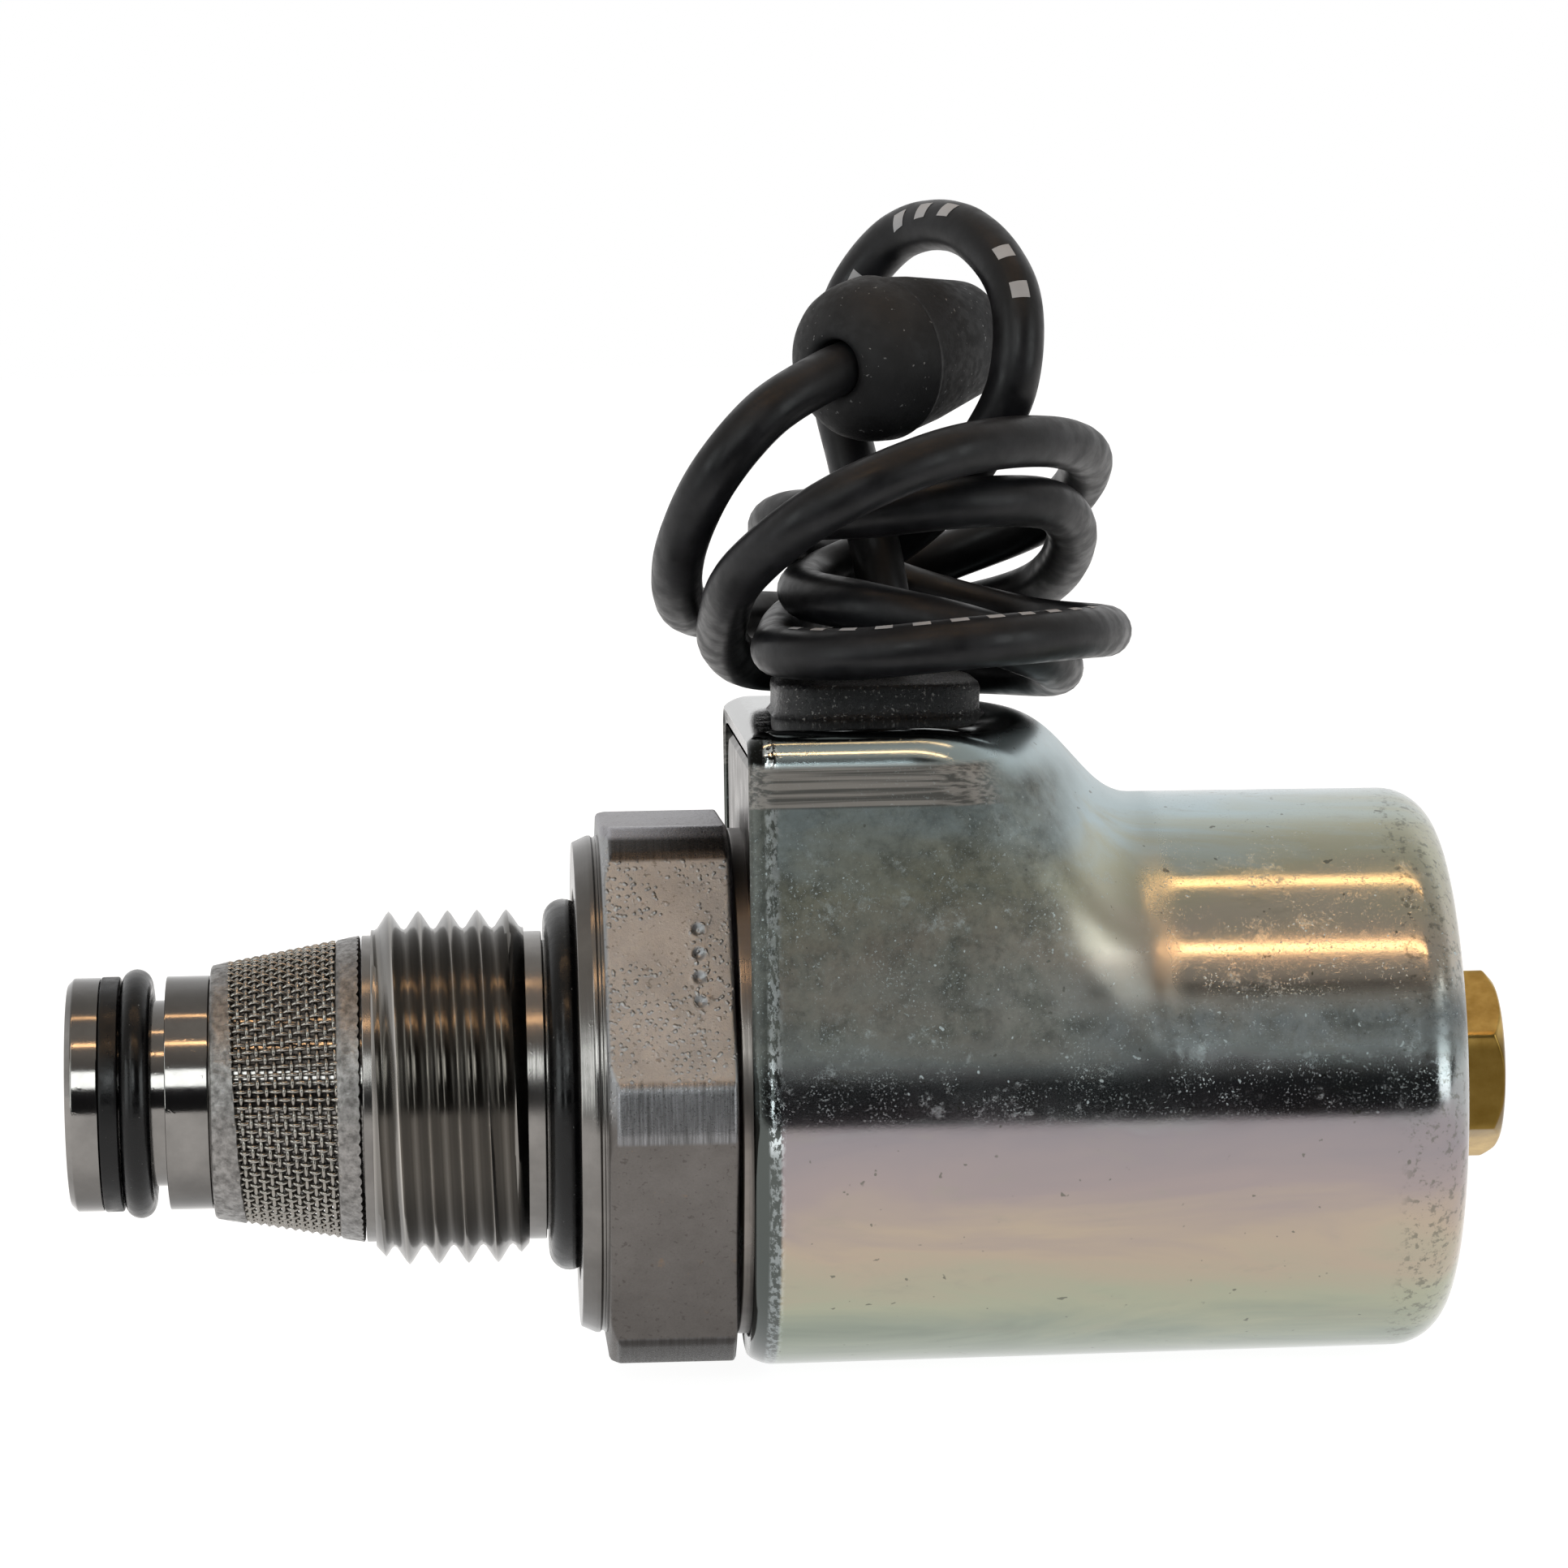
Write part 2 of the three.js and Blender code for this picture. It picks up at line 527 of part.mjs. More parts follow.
function plungerSolid() {
  const { radius, start, end, chamfer, pocket, pocketStart } = PLUNGER;
  const body = turned([
    [start, 0], [start, radius - chamfer], [start + chamfer, radius],
    [end - chamfer, radius], [end, radius - chamfer], [end, 0],
  ]);
  const socket = rod(start - 1, PIN.socket, PIN.radius + FIT, SMALL_ROUND);
  return cut(solid(body), solid(rod(pocketStart, end + 1, pocket, SMALL_ROUND)), solid(socket));
}

function poppetSolid() {
  const { radius, start, tip, nose, cone, chamfer, end, orifice, funnel, funnelDepth } = POPPET;
  return turned([
    [start, orifice], [start, tip], [nose, cone], [nose, radius - chamfer], [nose + chamfer, radius],
    [end, radius], [end, funnel], [end - funnelDepth, orifice],
  ]);
}

function springTube() {
  const { radius, wire, turns, start, end } = SPRING;
  const points = [];
  const perTurn = 8;
  for (let i = 0; i <= turns * perTurn; i++) {
    const angle = (i * 2 * Math.PI) / perTurn;
    const x = THREE.MathUtils.mapLinear(i, 0, turns * perTurn, start + wire, end - wire);
    points.push([x, radius * Math.cos(angle), radius * Math.sin(angle)]);
  }
  return tubeAlong(points, wire, 5, turns * perTurn);
}

function buildTube() {
  piece('core_tube', ring(TUBE.start, TUBE.end, TUBE.inner, TUBE.outer), 'groundSteel');
  piece('pole_piece', poleSolid(), 'steel');
  piece('main_poppet', poppetSolid(), 'groundSteel');
  piece('plunger', plungerSolid(), 'groundSteel');
  const pinEnd = PIN.socket - CLEAR;
  piece('pilot_pin', turned([
    [PIN.start, 0], [PIN.start + PIN.point, PIN.radius], [pinEnd, PIN.radius], [pinEnd, 0],
  ], SMALL_ROUND), 'groundSteel');
  piece('plunger_spring', springTube(), 'springSteel');
}

// ---- The coil ----------------------------------------------------------------------------

function canShell() {
  const outer = solid(canForm(CAN.start, CAN.end, 0, CAN.endRadius));
  const hollow = solid(canForm(CAN.start - 1, CAN.end - CAN.wall, CAN.wall, CAN.endRadius - CAN.wall));
  const studHole = rod(CAN.end - 3, CAN.end + 1, CAN.studHole, SMALL_ROUND);
  const clear = GROMMET.neck - GAP;
  const window = block(
    [GROMMET.start + clear, -GROMMET.halfDepth + clear, BOSS.top - 3],
    [GROMMET.end - clear, GROMMET.halfDepth - clear, BOSS.top + 1]);
  return cut(outer, hollow, solid(studHole), solid(window));
}

function fluxPlate() {
  const { discStart, start, end, halfWidth, top } = FLUX_PLATE;
  const outline = bossOutline(halfWidth, top, BOSS.edge).map(([y, z]) => new THREE.Vector2(y, z));
  const slab = solid(prism(new THREE.Shape(outline), start, end));
  const disc = solid(rod(discStart, end, halfWidth));
  return cut(join(slab, disc), solid(rod(discStart - 1, end + 1, BOBBIN.bore)));
}

function bobbinSolid() {
  const { start, end, bore, core, flange, flangeThickness } = BOBBIN;
  return turned([
    [start, bore], [start, flange], [start + flangeThickness, flange], [start + flangeThickness, core],
    [end - flangeThickness, core], [end - flangeThickness, flange], [end, flange], [end, bore],
  ]);
}

/** A rectangle in plan with rounded corners, standing between two heights. */
function roundedPad(start, end, halfDepth, corner, bottom, top) {
  const shape = new THREE.Shape();
  const [x0, x1, y0, y1] = [start, end, -halfDepth, halfDepth];
  shape.moveTo(x0 + corner, y0);
  shape.lineTo(x1 - corner, y0);
  shape.absarc(x1 - corner, y0 + corner, corner, -Math.PI / 2, 0, false);
  shape.lineTo(x1, y1 - corner);
  shape.absarc(x1 - corner, y1 - corner, corner, 0, Math.PI / 2, false);
  shape.lineTo(x0 + corner, y1);
  shape.absarc(x0 + corner, y1 - corner, corner, Math.PI / 2, Math.PI, false);
  shape.lineTo(x0, y0 + corner);
  shape.absarc(x0 + corner, y0 + corner, corner, Math.PI, 1.5 * Math.PI, false);
  const settings = { depth: top - bottom, bevelEnabled: false, curveSegments: 5 };
  return new THREE.ExtrudeGeometry(shape, settings).translate(0, 0, bottom);
}

function grommetSolid() {
  const { start, end, halfDepth, corner, height, neck } = GROMMET;
  const head = roundedPad(start, end, halfDepth, corner, BOSS.top + FIT, BOSS.top + height);
  const [bottom, top] = [POTTING.top + CLEAR, BOSS.top + FIT + OVERLAP];
  const stem = roundedPad(start + neck, end - neck, halfDepth - neck, corner - neck, bottom, top);
  return join(solid(head), solid(stem));
}

function pottingSolid() {
  const { start, end, halfDepth, bottom, top } = POTTING;
  const fill = block([start, -halfDepth, bottom], [end, halfDepth, top]);
  const { slotHalf, slotHeight, slotInset } = SPLICE;
  const spliceSlot = block(
    [start + slotInset, -slotHalf, bottom - 1], [end - slotInset, slotHalf, bottom + slotHeight]);
  return cut(solid(fill), solid(spliceSlot));
}

function buildCoil() {
  const windingStart = BOBBIN.start + BOBBIN.flangeThickness + CLEAR;
  const windingEnd = BOBBIN.end - BOBBIN.flangeThickness - CLEAR;
  const spliceHeight = POTTING.bottom + SPLICE.radius - GAP;
  const splice = rod(SPLICE.start, SPLICE.end, SPLICE.radius, SMALL_ROUND).translate(0, 0, spliceHeight);
  piece('coil_can', canShell(), 'zinc');
  piece('flux_plate', fluxPlate(), 'steel');
  piece('bobbin', bobbinSolid(), 'nylon');
  piece('winding', ring(windingStart, windingEnd, WINDING.inner, WINDING.outer), 'copper');
  piece('winding_tape', ring(windingStart, windingEnd, WINDING.outer + CLEAR, WINDING.tape), 'backup');
  piece('lead_potting', pottingSolid(), 'epoxy');
  piece('lead_splice', splice, 'copper');
  piece('lead_grommet', grommetSolid(), 'epoxy');
}

function buildNut() {
  const { start, end, acrossFlats, chamfer, chamferLength, bore, turn } = NUT;
  const corner = acrossFlats / Math.sqrt(3);
  const envelope = turned([
    [start, 0], [start, corner], [end - chamferLength, corner], [end, corner - chamfer], [end, 0],
  ]);
  const hole = rod(start - 1, end + 1, bore);
  const bar = hexBar(start, end, acrossFlats, THREE.MathUtils.degToRad(turn));
  piece('nut_washer', ring(WASHER.start, WASHER.end, WASHER.bore, WASHER.radius), 'springSteel');
  piece('coil_nut', cut(solid(bar).intersect(solid(envelope)), solid(hole)), 'brass');
}

// ---- The lead ----------------------------------------------------------------------------

function buildLead() {
  const leadSides = 8;
  const leadSteps = 76;
  piece('lead_wire', tubeAlong(LEAD_ROUTE, LEAD_DIAMETER / 2, leadSides, leadSteps), 'leadJacket');

  const along = new THREE.Group();
  along.position.set(...BOOT.near);
  along.quaternion.setFromUnitVectors(
    new THREE.Vector3(1, 0, 0), new THREE.Vector3(...BOOT.direction).normalize());
  valve.add(along);
  piece('connector_boot', turned(BOOT_PROFILE, SMALL_ROUND), 'rubber', along);
  piece('bullet_terminal', turned(TERMINAL_PROFILE, SMALL_ROUND), 'brass', along);
}

buildCartridge();
buildTube();
buildCoil();
buildNut();
buildLead();

export default valve;
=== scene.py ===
"""Looks of a screw-in solenoid cartridge valve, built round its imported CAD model.

Metres, in the model's frame: the valve's axis is X, the nose points along -X and the coil's boss along +Z.
Lengths below are written in millimetres and turned into metres when a mesh is made.
"""

import math
from math import cos, pi, radians, sin

import bmesh
import bpy
import numpy as np
from mathutils import Matrix, Vector


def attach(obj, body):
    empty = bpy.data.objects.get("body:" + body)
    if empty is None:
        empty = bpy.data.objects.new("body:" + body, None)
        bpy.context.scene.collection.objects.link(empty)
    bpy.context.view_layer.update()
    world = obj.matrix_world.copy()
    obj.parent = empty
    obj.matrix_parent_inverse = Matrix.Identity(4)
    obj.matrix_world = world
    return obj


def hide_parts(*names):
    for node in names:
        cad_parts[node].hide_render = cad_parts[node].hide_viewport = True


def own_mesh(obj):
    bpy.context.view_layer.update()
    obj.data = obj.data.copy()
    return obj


MM = 0.001

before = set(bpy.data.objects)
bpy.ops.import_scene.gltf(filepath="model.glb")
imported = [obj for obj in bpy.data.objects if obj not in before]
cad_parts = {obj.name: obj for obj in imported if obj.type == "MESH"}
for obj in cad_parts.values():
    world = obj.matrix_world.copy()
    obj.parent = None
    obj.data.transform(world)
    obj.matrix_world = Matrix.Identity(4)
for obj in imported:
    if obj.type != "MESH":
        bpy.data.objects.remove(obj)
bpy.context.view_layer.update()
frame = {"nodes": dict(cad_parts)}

# ---- Dimensions, in millimetres, as in the CAD model -------------------------------------------

THREAD_RADIUS, THREAD_PITCH, THREAD_DEPTH = 9.525, 1.5875, 1.0
THREAD_START, THREAD_END, THREAD_PHASE = -10.9, -2.7, 0.6
NOSE_TIP, NOSE_LAND, NOSE_GROOVE, NOSE_CHAMFER = -27.2, 6.28, 5.0, 0.35
CAGE_SHANK, CAGE_PORT, CAGE_BORE, CAGE_STEP, CAGE_END = 5.7, 3.2, 4.2, -22.8, 1.0
SCREEN_COLLAR, SCREEN_STEP = 6.05, 0.1  # the nose behind its land, under the screen's front band
GROOVE_START, GROOVE_END = -25.45, -21.9
NOSE_SEAL, NOSE_SEAL_SECTION, BACKUP_END, BACKUP_RADIUS = -23.5, 1.64, -24.4, 6.32
SCREEN_START, SCREEN_END, SCREEN_FRONT, SCREEN_REAR = -19.5, -11.5, 6.8, 8.25
FRONT_BAND, REAR_BAND, FRONT_DEPTH, REAR_DEPTH = 1.2, 1.3, 0.65, 0.8
NECK_START, FRONT_NECK, RELIEF, RELIEF_END, SEAL_GROOVE = -11.4, 8.25, 8.3, -1.75, 7.8
PORT_SEAL, PORT_SEAL_SECTION = -0.55, 2.15
SEAT_RADIUS, SEAT_CHAMFER, SEAT_RECESS, RECESS_DEPTH = 13.4, 0.8, 10.6, 0.6
HEX_FLAT, HEX_CORNER, HEX_START, HEX_END, HEX_TURN = 14.2875, 15.8, 1.4, 8.1, radians(-1.4)
HEX_FRONT_BEVEL, HEX_BACK_BEVEL, BEVEL_SLOPE = 0.6, 0.2, 1.15
TUBE_RADIUS, TUBE_END = 6.35, 44.8
STUD_RADIUS, STUD_END, STUD_PITCH, STUD_DEPTH = 2.4, 49.6, 0.794, 0.45
POLE_START, POLE_RADIUS = 26.2, 5.24
CAN_OPEN, CAN_CLOSED, CAN_START, CAN_END, CAN_WALL, CAN_EDGE = 15.35, 15.1, 8.9, 46.6, 1.5, 2.8
BOSS_TOP, BOSS_EDGE, BOSS_END, BOSS_LEAN = 19.9, 2.2, 25.6, 0.6
BOSS_ROUND, BOSS_ROLL, BOSS_FILLET = 5.5, 4.0, 3.0
DISC_START, PLATE_START, PLATE_END, PLATE_HALF, PLATE_TOP = 8.35, 9.1, 10.0, 13.65, 17.9
GROMMET_START, GROMMET_END, GROMMET_HALF, GROMMET_CORNER = 11.0, 21.9, 5.45, 2.4
NUT_FLATS, NUT_START, NUT_END, NUT_TURN = 9.0, 47.3, 49.9, radians(-24.5)
WASHER_START, WASHER_END, WASHER_RADIUS, WASHER_BORE = 46.7, 47.2, 4.3, 2.6
LEAD_DIAMETER = 2.75
LEAD_TAIL = 2.2  # how far it goes into its boot
BOOT_NEAR, BOOT_DIRECTION = (14.0, -4.7, 38.4), (0.68, 0.72, 0.12)
FLOOR = -15.4

LEAD_ROUTE = [
    # out of the grommet, up, and over the boot in a loop
    (17.1, 0, 22.0), (17.2, 0.4, 24.8), (16.8, 1.3, 28.2), (15.7, 3.4, 33.2), (15.0, 6.2, 38.0),
    (16.0, 7.5, 42.2), (18.6, 5.6, 45.4), (21.8, 1.0, 45.6), (24.0, -3.4, 42.2), (23.8, -4.4, 37.6),
    # down behind the rising lead and once round the grommet
    (22.0, -1.6, 33.6), (19.9, 2.8, 30.6), (17.2, 5.0, 28.4), (13.8, 3.2, 27.0), (12.7, -2.4, 26.4),
    (15.6, -7.4, 25.9), (20.6, -8.3, 24.7), (25.2, -4.0, 22.9), (26.4, 2.5, 21.7), (22.6, 9.6, 21.4),
    (15.6, 11.7, 21.5), (10.6, 9.0, 21.9),
    # the high, tilted turn
    (8.7, 3.8, 23.2), (8.3, -2.3, 25.2), (9.2, -8.6, 28.0), (13.2, -12.3, 31.4), (19.3, -10.9, 33.9),
    (25.3, -5.4, 34.4), (28.3, 1.6, 33.1), (26.8, 8.4, 30.0), (21.0, 12.0, 27.4),
    # the level turn on the boss
    (15.0, 10.8, 25.3), (12.3, 4.5, 24.5), (11.3, -1.6, 23.8), (11.2, -7.0, 23.6), (14.8, -11.4, 23.7),
    (21.0, -11.8, 24.2), (26.9, -7.2, 24.3), (28.9, 0.5, 24.0), (25.2, 7.0, 24.2),
    # the inner turn
    (19.0, 9.0, 25.9), (13.6, 7.6, 28.2), (11.3, 2.2, 29.6), (12.0, -3.6, 30.6), (15.8, -7.4, 30.9),
    (20.8, -7.4, 31.3), (25.6, -3.8, 31.0), (27.5, 2.8, 28.8),
    # the outer turn, then up the near side into the boot
    (25.9, 10.4, 25.7), (18.8, 13.9, 24.0), (11.8, 12.2, 24.4), (7.4, 6.5, 25.0), (6.0, 0.4, 26.4),
    (6.1, -4.8, 29.4), (7.7, -7.8, 33.0), (10.4, -7.8, 36.1), (13.7, -5.2, 38.0),
]

# ---- Camera -------------------------------------------------------------------------------------


def make_camera():
    azimuth, elevation, roll = radians(3.0), radians(4.8), radians(-0.916)
    target, distance, sensor = Vector((11.51, 0, 16.02)), 342.035, 36.0
    pixels, focal_pixels = 1932, 7815
    back = Vector((-sin(azimuth) * cos(elevation), -cos(azimuth) * cos(elevation), sin(elevation)))
    level = Vector((cos(azimuth), -sin(azimuth), 0))
    upright = back.cross(level)
    right = cos(roll) * level + sin(roll) * upright
    up = -sin(roll) * level + cos(roll) * upright
    camera = bpy.data.objects.new("camera", bpy.data.cameras.new("camera"))
    camera.data.sensor_width = sensor
    camera.data.lens = sensor * focal_pixels / pixels
    camera.data.clip_start, camera.data.clip_end = 0.01, 10
    camera.matrix_world = Matrix.Translation((target + back * distance) * MM) @ Matrix(
        (right, up, back)).transposed().to_4x4()
    bpy.context.scene.collection.objects.link(camera)
    bpy.context.scene.camera = camera


# ---- Materials ----------------------------------------------------------------------------------


def add_node(tree, kind, inputs=None, **settings):
    """A shader node with its settings. An input, by name or number, is a socket to link or a value."""
    made = tree.nodes.new("ShaderNode" + kind)
    for key, value in settings.items():
        setattr(made, key, value)
    for key, value in (inputs or {}).items():
        feed(tree, value, made.inputs[key])
    return made


def feed(tree, value, socket):
    if isinstance(value, bpy.types.NodeSocket):
        tree.links.new(value, socket)
    else:
        socket.default_value = value


def set_stops(ramp, stops):
    """Each stop is (position, grey) or (position, (r, g, b))."""
    elements = ramp.color_ramp.elements
    while len(elements) < len(stops):
        elements.new(0.5)
    for element, (position, tone) in zip(elements, stops):
        element.position = position
        element.color = (*tone, 1) if isinstance(tone, tuple) else (tone, tone, tone, 1)


class Finish:
    """A Principled material and the few node patterns that the surfaces here are made of."""

    def __init__(self, name, color, metallic=0.0, roughness=0.5, **sockets):
        self.material = bpy.data.materials.new(name)
        self.material.use_nodes = True
        self.tree = self.material.node_tree
        self.shader = self.tree.nodes["Principled BSDF"]
        self.shader.inputs["Base Color"].default_value = (*color, 1)
        self.shader.inputs["Metallic"].default_value = metallic
        self.shader.inputs["Roughness"].default_value = roughness
        for socket, value in sockets.items():
            self.shader.inputs[socket.replace("_", " ")].default_value = value
        self.place = self.node("TexCoord").outputs["Object"]

    def node(self, kind, inputs=None, **settings):
        return add_node(self.tree, kind, inputs, **settings)

    def coordinates(self, stretch=(1, 1, 1), turn=(0, 0, 0)):
        """Object coordinates in millimetres, turned and then stretched."""
        scaled = self.node("Mapping", {"Vector": self.place, "Rotation": turn, "Scale": (1 / MM,) * 3})
        stretched = self.node("Mapping", {"Vector": scaled.outputs[0], "Scale": stretch})
        return stretched.outputs[0]

    def noise(self, scale, detail=3.0, roughness=0.55, stretch=(1, 1, 1), turn=(0, 0, 0), distortion=0.0):
        texture = self.node("TexNoise", {
            "Vector": self.coordinates(stretch, turn), "Scale": scale, "Detail": detail,
            "Roughness": roughness, "Distortion": distortion})
        return texture.outputs["Fac"]

    def ramp(self, value, *stops):
        """A colour or grey ramp."""
        made = self.node("ValToRGB", {"Fac": value})
        set_stops(made, stops)
        return made.outputs["Color"]

    def spread(self, value, low, high, to_low=0.0, to_high=1.0):
        """Map a value from one range to another, clamped, with soft ends."""
        made = self.node("MapRange", {
            "Value": value, "From Min": low, "From Max": high, "To Min": to_low, "To Max": to_high},
            interpolation_type="SMOOTHSTEP")
        return made.outputs["Result"]

    def math(self, operation, a, b=0.0):
        return self.node("Math", {0: a, 1: b}, operation=operation).outputs[0]

    def times(self, a, b):
        return self.math("MULTIPLY", a, b)

    def most(self, a, b):
        return self.math("MAXIMUM", a, b)

    def mix(self, factor, a, b):
        a, b = ((*value, 1) if isinstance(value, tuple) else value for value in (a, b))
        return self.node("Mix", {"Factor": factor, 6: a, 7: b}, data_type="RGBA").outputs[2]

    def axis(self, name):
        return self.node("SeparateXYZ", {"Vector": self.coordinates()}).outputs[name]

    def from_axis(self):
        """The distance from the valve's axis, in millimetres."""
        across, up = self.axis("Y"), self.axis("Z")
        squares = self.math("ADD", self.times(across, across), self.times(up, up))
        return self.math("SQRT", squares)

    def to(self, socket, value):
        self.tree.links.new(value, self.shader.inputs[socket])
        return self

    def bump(self, *heights):
        """Stack bumps. Each is (height socket, strength, distance in millimetres)."""
        under = {}
        for height, strength, distance in heights:
            made = self.node("Bump", {
                "Height": height, "Strength": strength, "Distance": distance * MM, **under})
            under = {"Normal": made.outputs["Normal"]}
        return self.to("Normal", under["Normal"])


def turned_steel(name, color, roughness, radius, lines=0.25, grain=0.004, crest=False):
    """Lathe-turned steel: fine rings round X, stains, a few nicks, and painted shade: a darker underside
    and a darker top.

    On a thread the crests are painted brighter than the flanks, a painted highlight.
    """
    finish = Finish(name, color, metallic=1.0, roughness=roughness)
    rings = finish.noise(1.0, 2.0, stretch=(9.0, 0.15, 0.15))
    stains = finish.noise(0.35, 5.0, 0.6)
    darker, paler = tuple(c * 0.85 for c in color), tuple(c * 1.15 for c in color)
    skin = finish.ramp(stains, (0.35, darker), (0.7, paler))
    if crest:
        depth = finish.math("SUBTRACT", radius, finish.from_axis())
        # painted highlight: bright at the crests, darker down the flanks
        crest_highlight = finish.ramp(depth, (0.04, 0.75), (0.14, 0.36), (0.8, 0.32), (0.95, 0.5))
        skin = finish.mix(crest_highlight, (0.0, 0.0, 0.0), (0.62, 0.59, 0.55))
    height = finish.axis("Z")
    # painted shade: the colour is darker towards the underside and towards the top
    under = finish.spread(height, -0.35 * radius, -0.95 * radius, 0.0, 0.62)
    over = finish.spread(height, 0.6 * radius, 0.9 * radius, 0.0, 0.5)
    skin = finish.mix(finish.most(under, over), skin, (0.02, 0.018, 0.016))
    finish.to("Base Color", skin)
    finish.to("Roughness", finish.spread(stains, 0.3, 0.7, roughness * 1.25, roughness * 0.85))
    nicks = finish.spread(finish.noise(2.2, 2.0), 0.66, 0.74)
    fine = finish.noise(14.0, 2.0)
    return finish.bump((rings, lines, 0.02), (fine, 0.3, grain), (nicks, 0.2, 0.01)).material


def blasted_steel():
    """The hexagon: flats with pits and raised grains, a smoother top flat, and turned corners, with painted
    light and shade: the upper flats painted lighter, the underside and the high and low corners painted
    darker.
    """
    finish = Finish("hex_steel", (0.2, 0.17, 0.15), metallic=1.0)
    height = finish.axis("Z")
    corner = finish.spread(finish.from_axis(), HEX_CORNER - 0.22, HEX_CORNER - 0.1)
    top = finish.spread(height, HEX_FLAT - 0.5, HEX_FLAT - 0.2)
    upper = finish.spread(height, -0.6, 1.2)
    fine = finish.noise(9.0, 4.0, 0.7)
    stains = finish.noise(0.4, 5.0, 0.65)
    # painted light and shade: the upper flats get a lit copy of the skin, the lower flats a shaded one
    shaded_skin = finish.ramp(stains, (0.3, (0.125, 0.115, 0.108)), (0.8, (0.165, 0.153, 0.145)))
    lit_skin = finish.ramp(stains, (0.3, (0.265, 0.27, 0.275)), (0.8, (0.385, 0.39, 0.40)))
    skin = finish.mix(upper, shaded_skin, lit_skin)
    # grains stand out of the upper flat, pits are everywhere
    grains = finish.node("TexVoronoi", {"Vector": finish.coordinates(), "Scale": 3.6}, feature="SMOOTH_F1")
    raised = finish.spread(grains.outputs["Distance"], 0.08, 0.36, 1.0, 0.0)
    crowd = finish.times(upper, finish.spread(finish.noise(0.5, 4.0), 0.40, 0.60))
    sparse = finish.times(raised, crowd)
    pits = finish.spread(finish.noise(3.4, 2.0), 0.62, 0.70)
    skin = finish.mix(finish.times(pits, 0.5), skin, (0.07, 0.06, 0.055))
    skin = finish.mix(finish.times(sparse, 0.35), skin, (0.62, 0.60, 0.57))
    rust = finish.spread(finish.noise(0.9, 4.0, 0.6), 0.66, 0.76, 0.0, 0.35)
    skin = finish.mix(rust, skin, (0.28, 0.17, 0.09))
    lines = finish.noise(1.0, 3.0, 0.7, stretch=(6.0, 0.25, 0.25))
    turned_skin = finish.ramp(lines, (0.35, (0.10, 0.10, 0.10)), (0.65, (0.26, 0.26, 0.27)))
    skin = finish.mix(corner, skin, turned_skin)
    # painted shade: the turned corners high and low are painted near black
    shaded_corners = finish.spread(finish.math("ABSOLUTE", height), 9.5, 11.5, 0.0, 0.85)
    skin = finish.mix(finish.times(corner, shaded_corners), skin, (0.03, 0.027, 0.025))
    # painted shade: darker towards the underside
    under = finish.spread(height, -4.0, -HEX_FLAT, 0.0, 0.35)
    skin = finish.mix(under, skin, (0.04, 0.036, 0.033))
    finish.to("Base Color", finish.mix(top, skin, (0.31, 0.305, 0.325)))
    rough = finish.spread(fine, 0.3, 0.7, 0.36, 0.55)
    finish.to("Roughness", finish.math("SUBTRACT", rough, finish.times(corner, 0.14)))
    flat = finish.math("SUBTRACT", 1.0, corner)
    return finish.bump((fine, 0.55, 0.03), (finish.times(sparse, flat), 1.0, 0.08),
                       (finish.times(pits, flat), -0.6, 0.05), (lines, 0.35, 0.012)).material


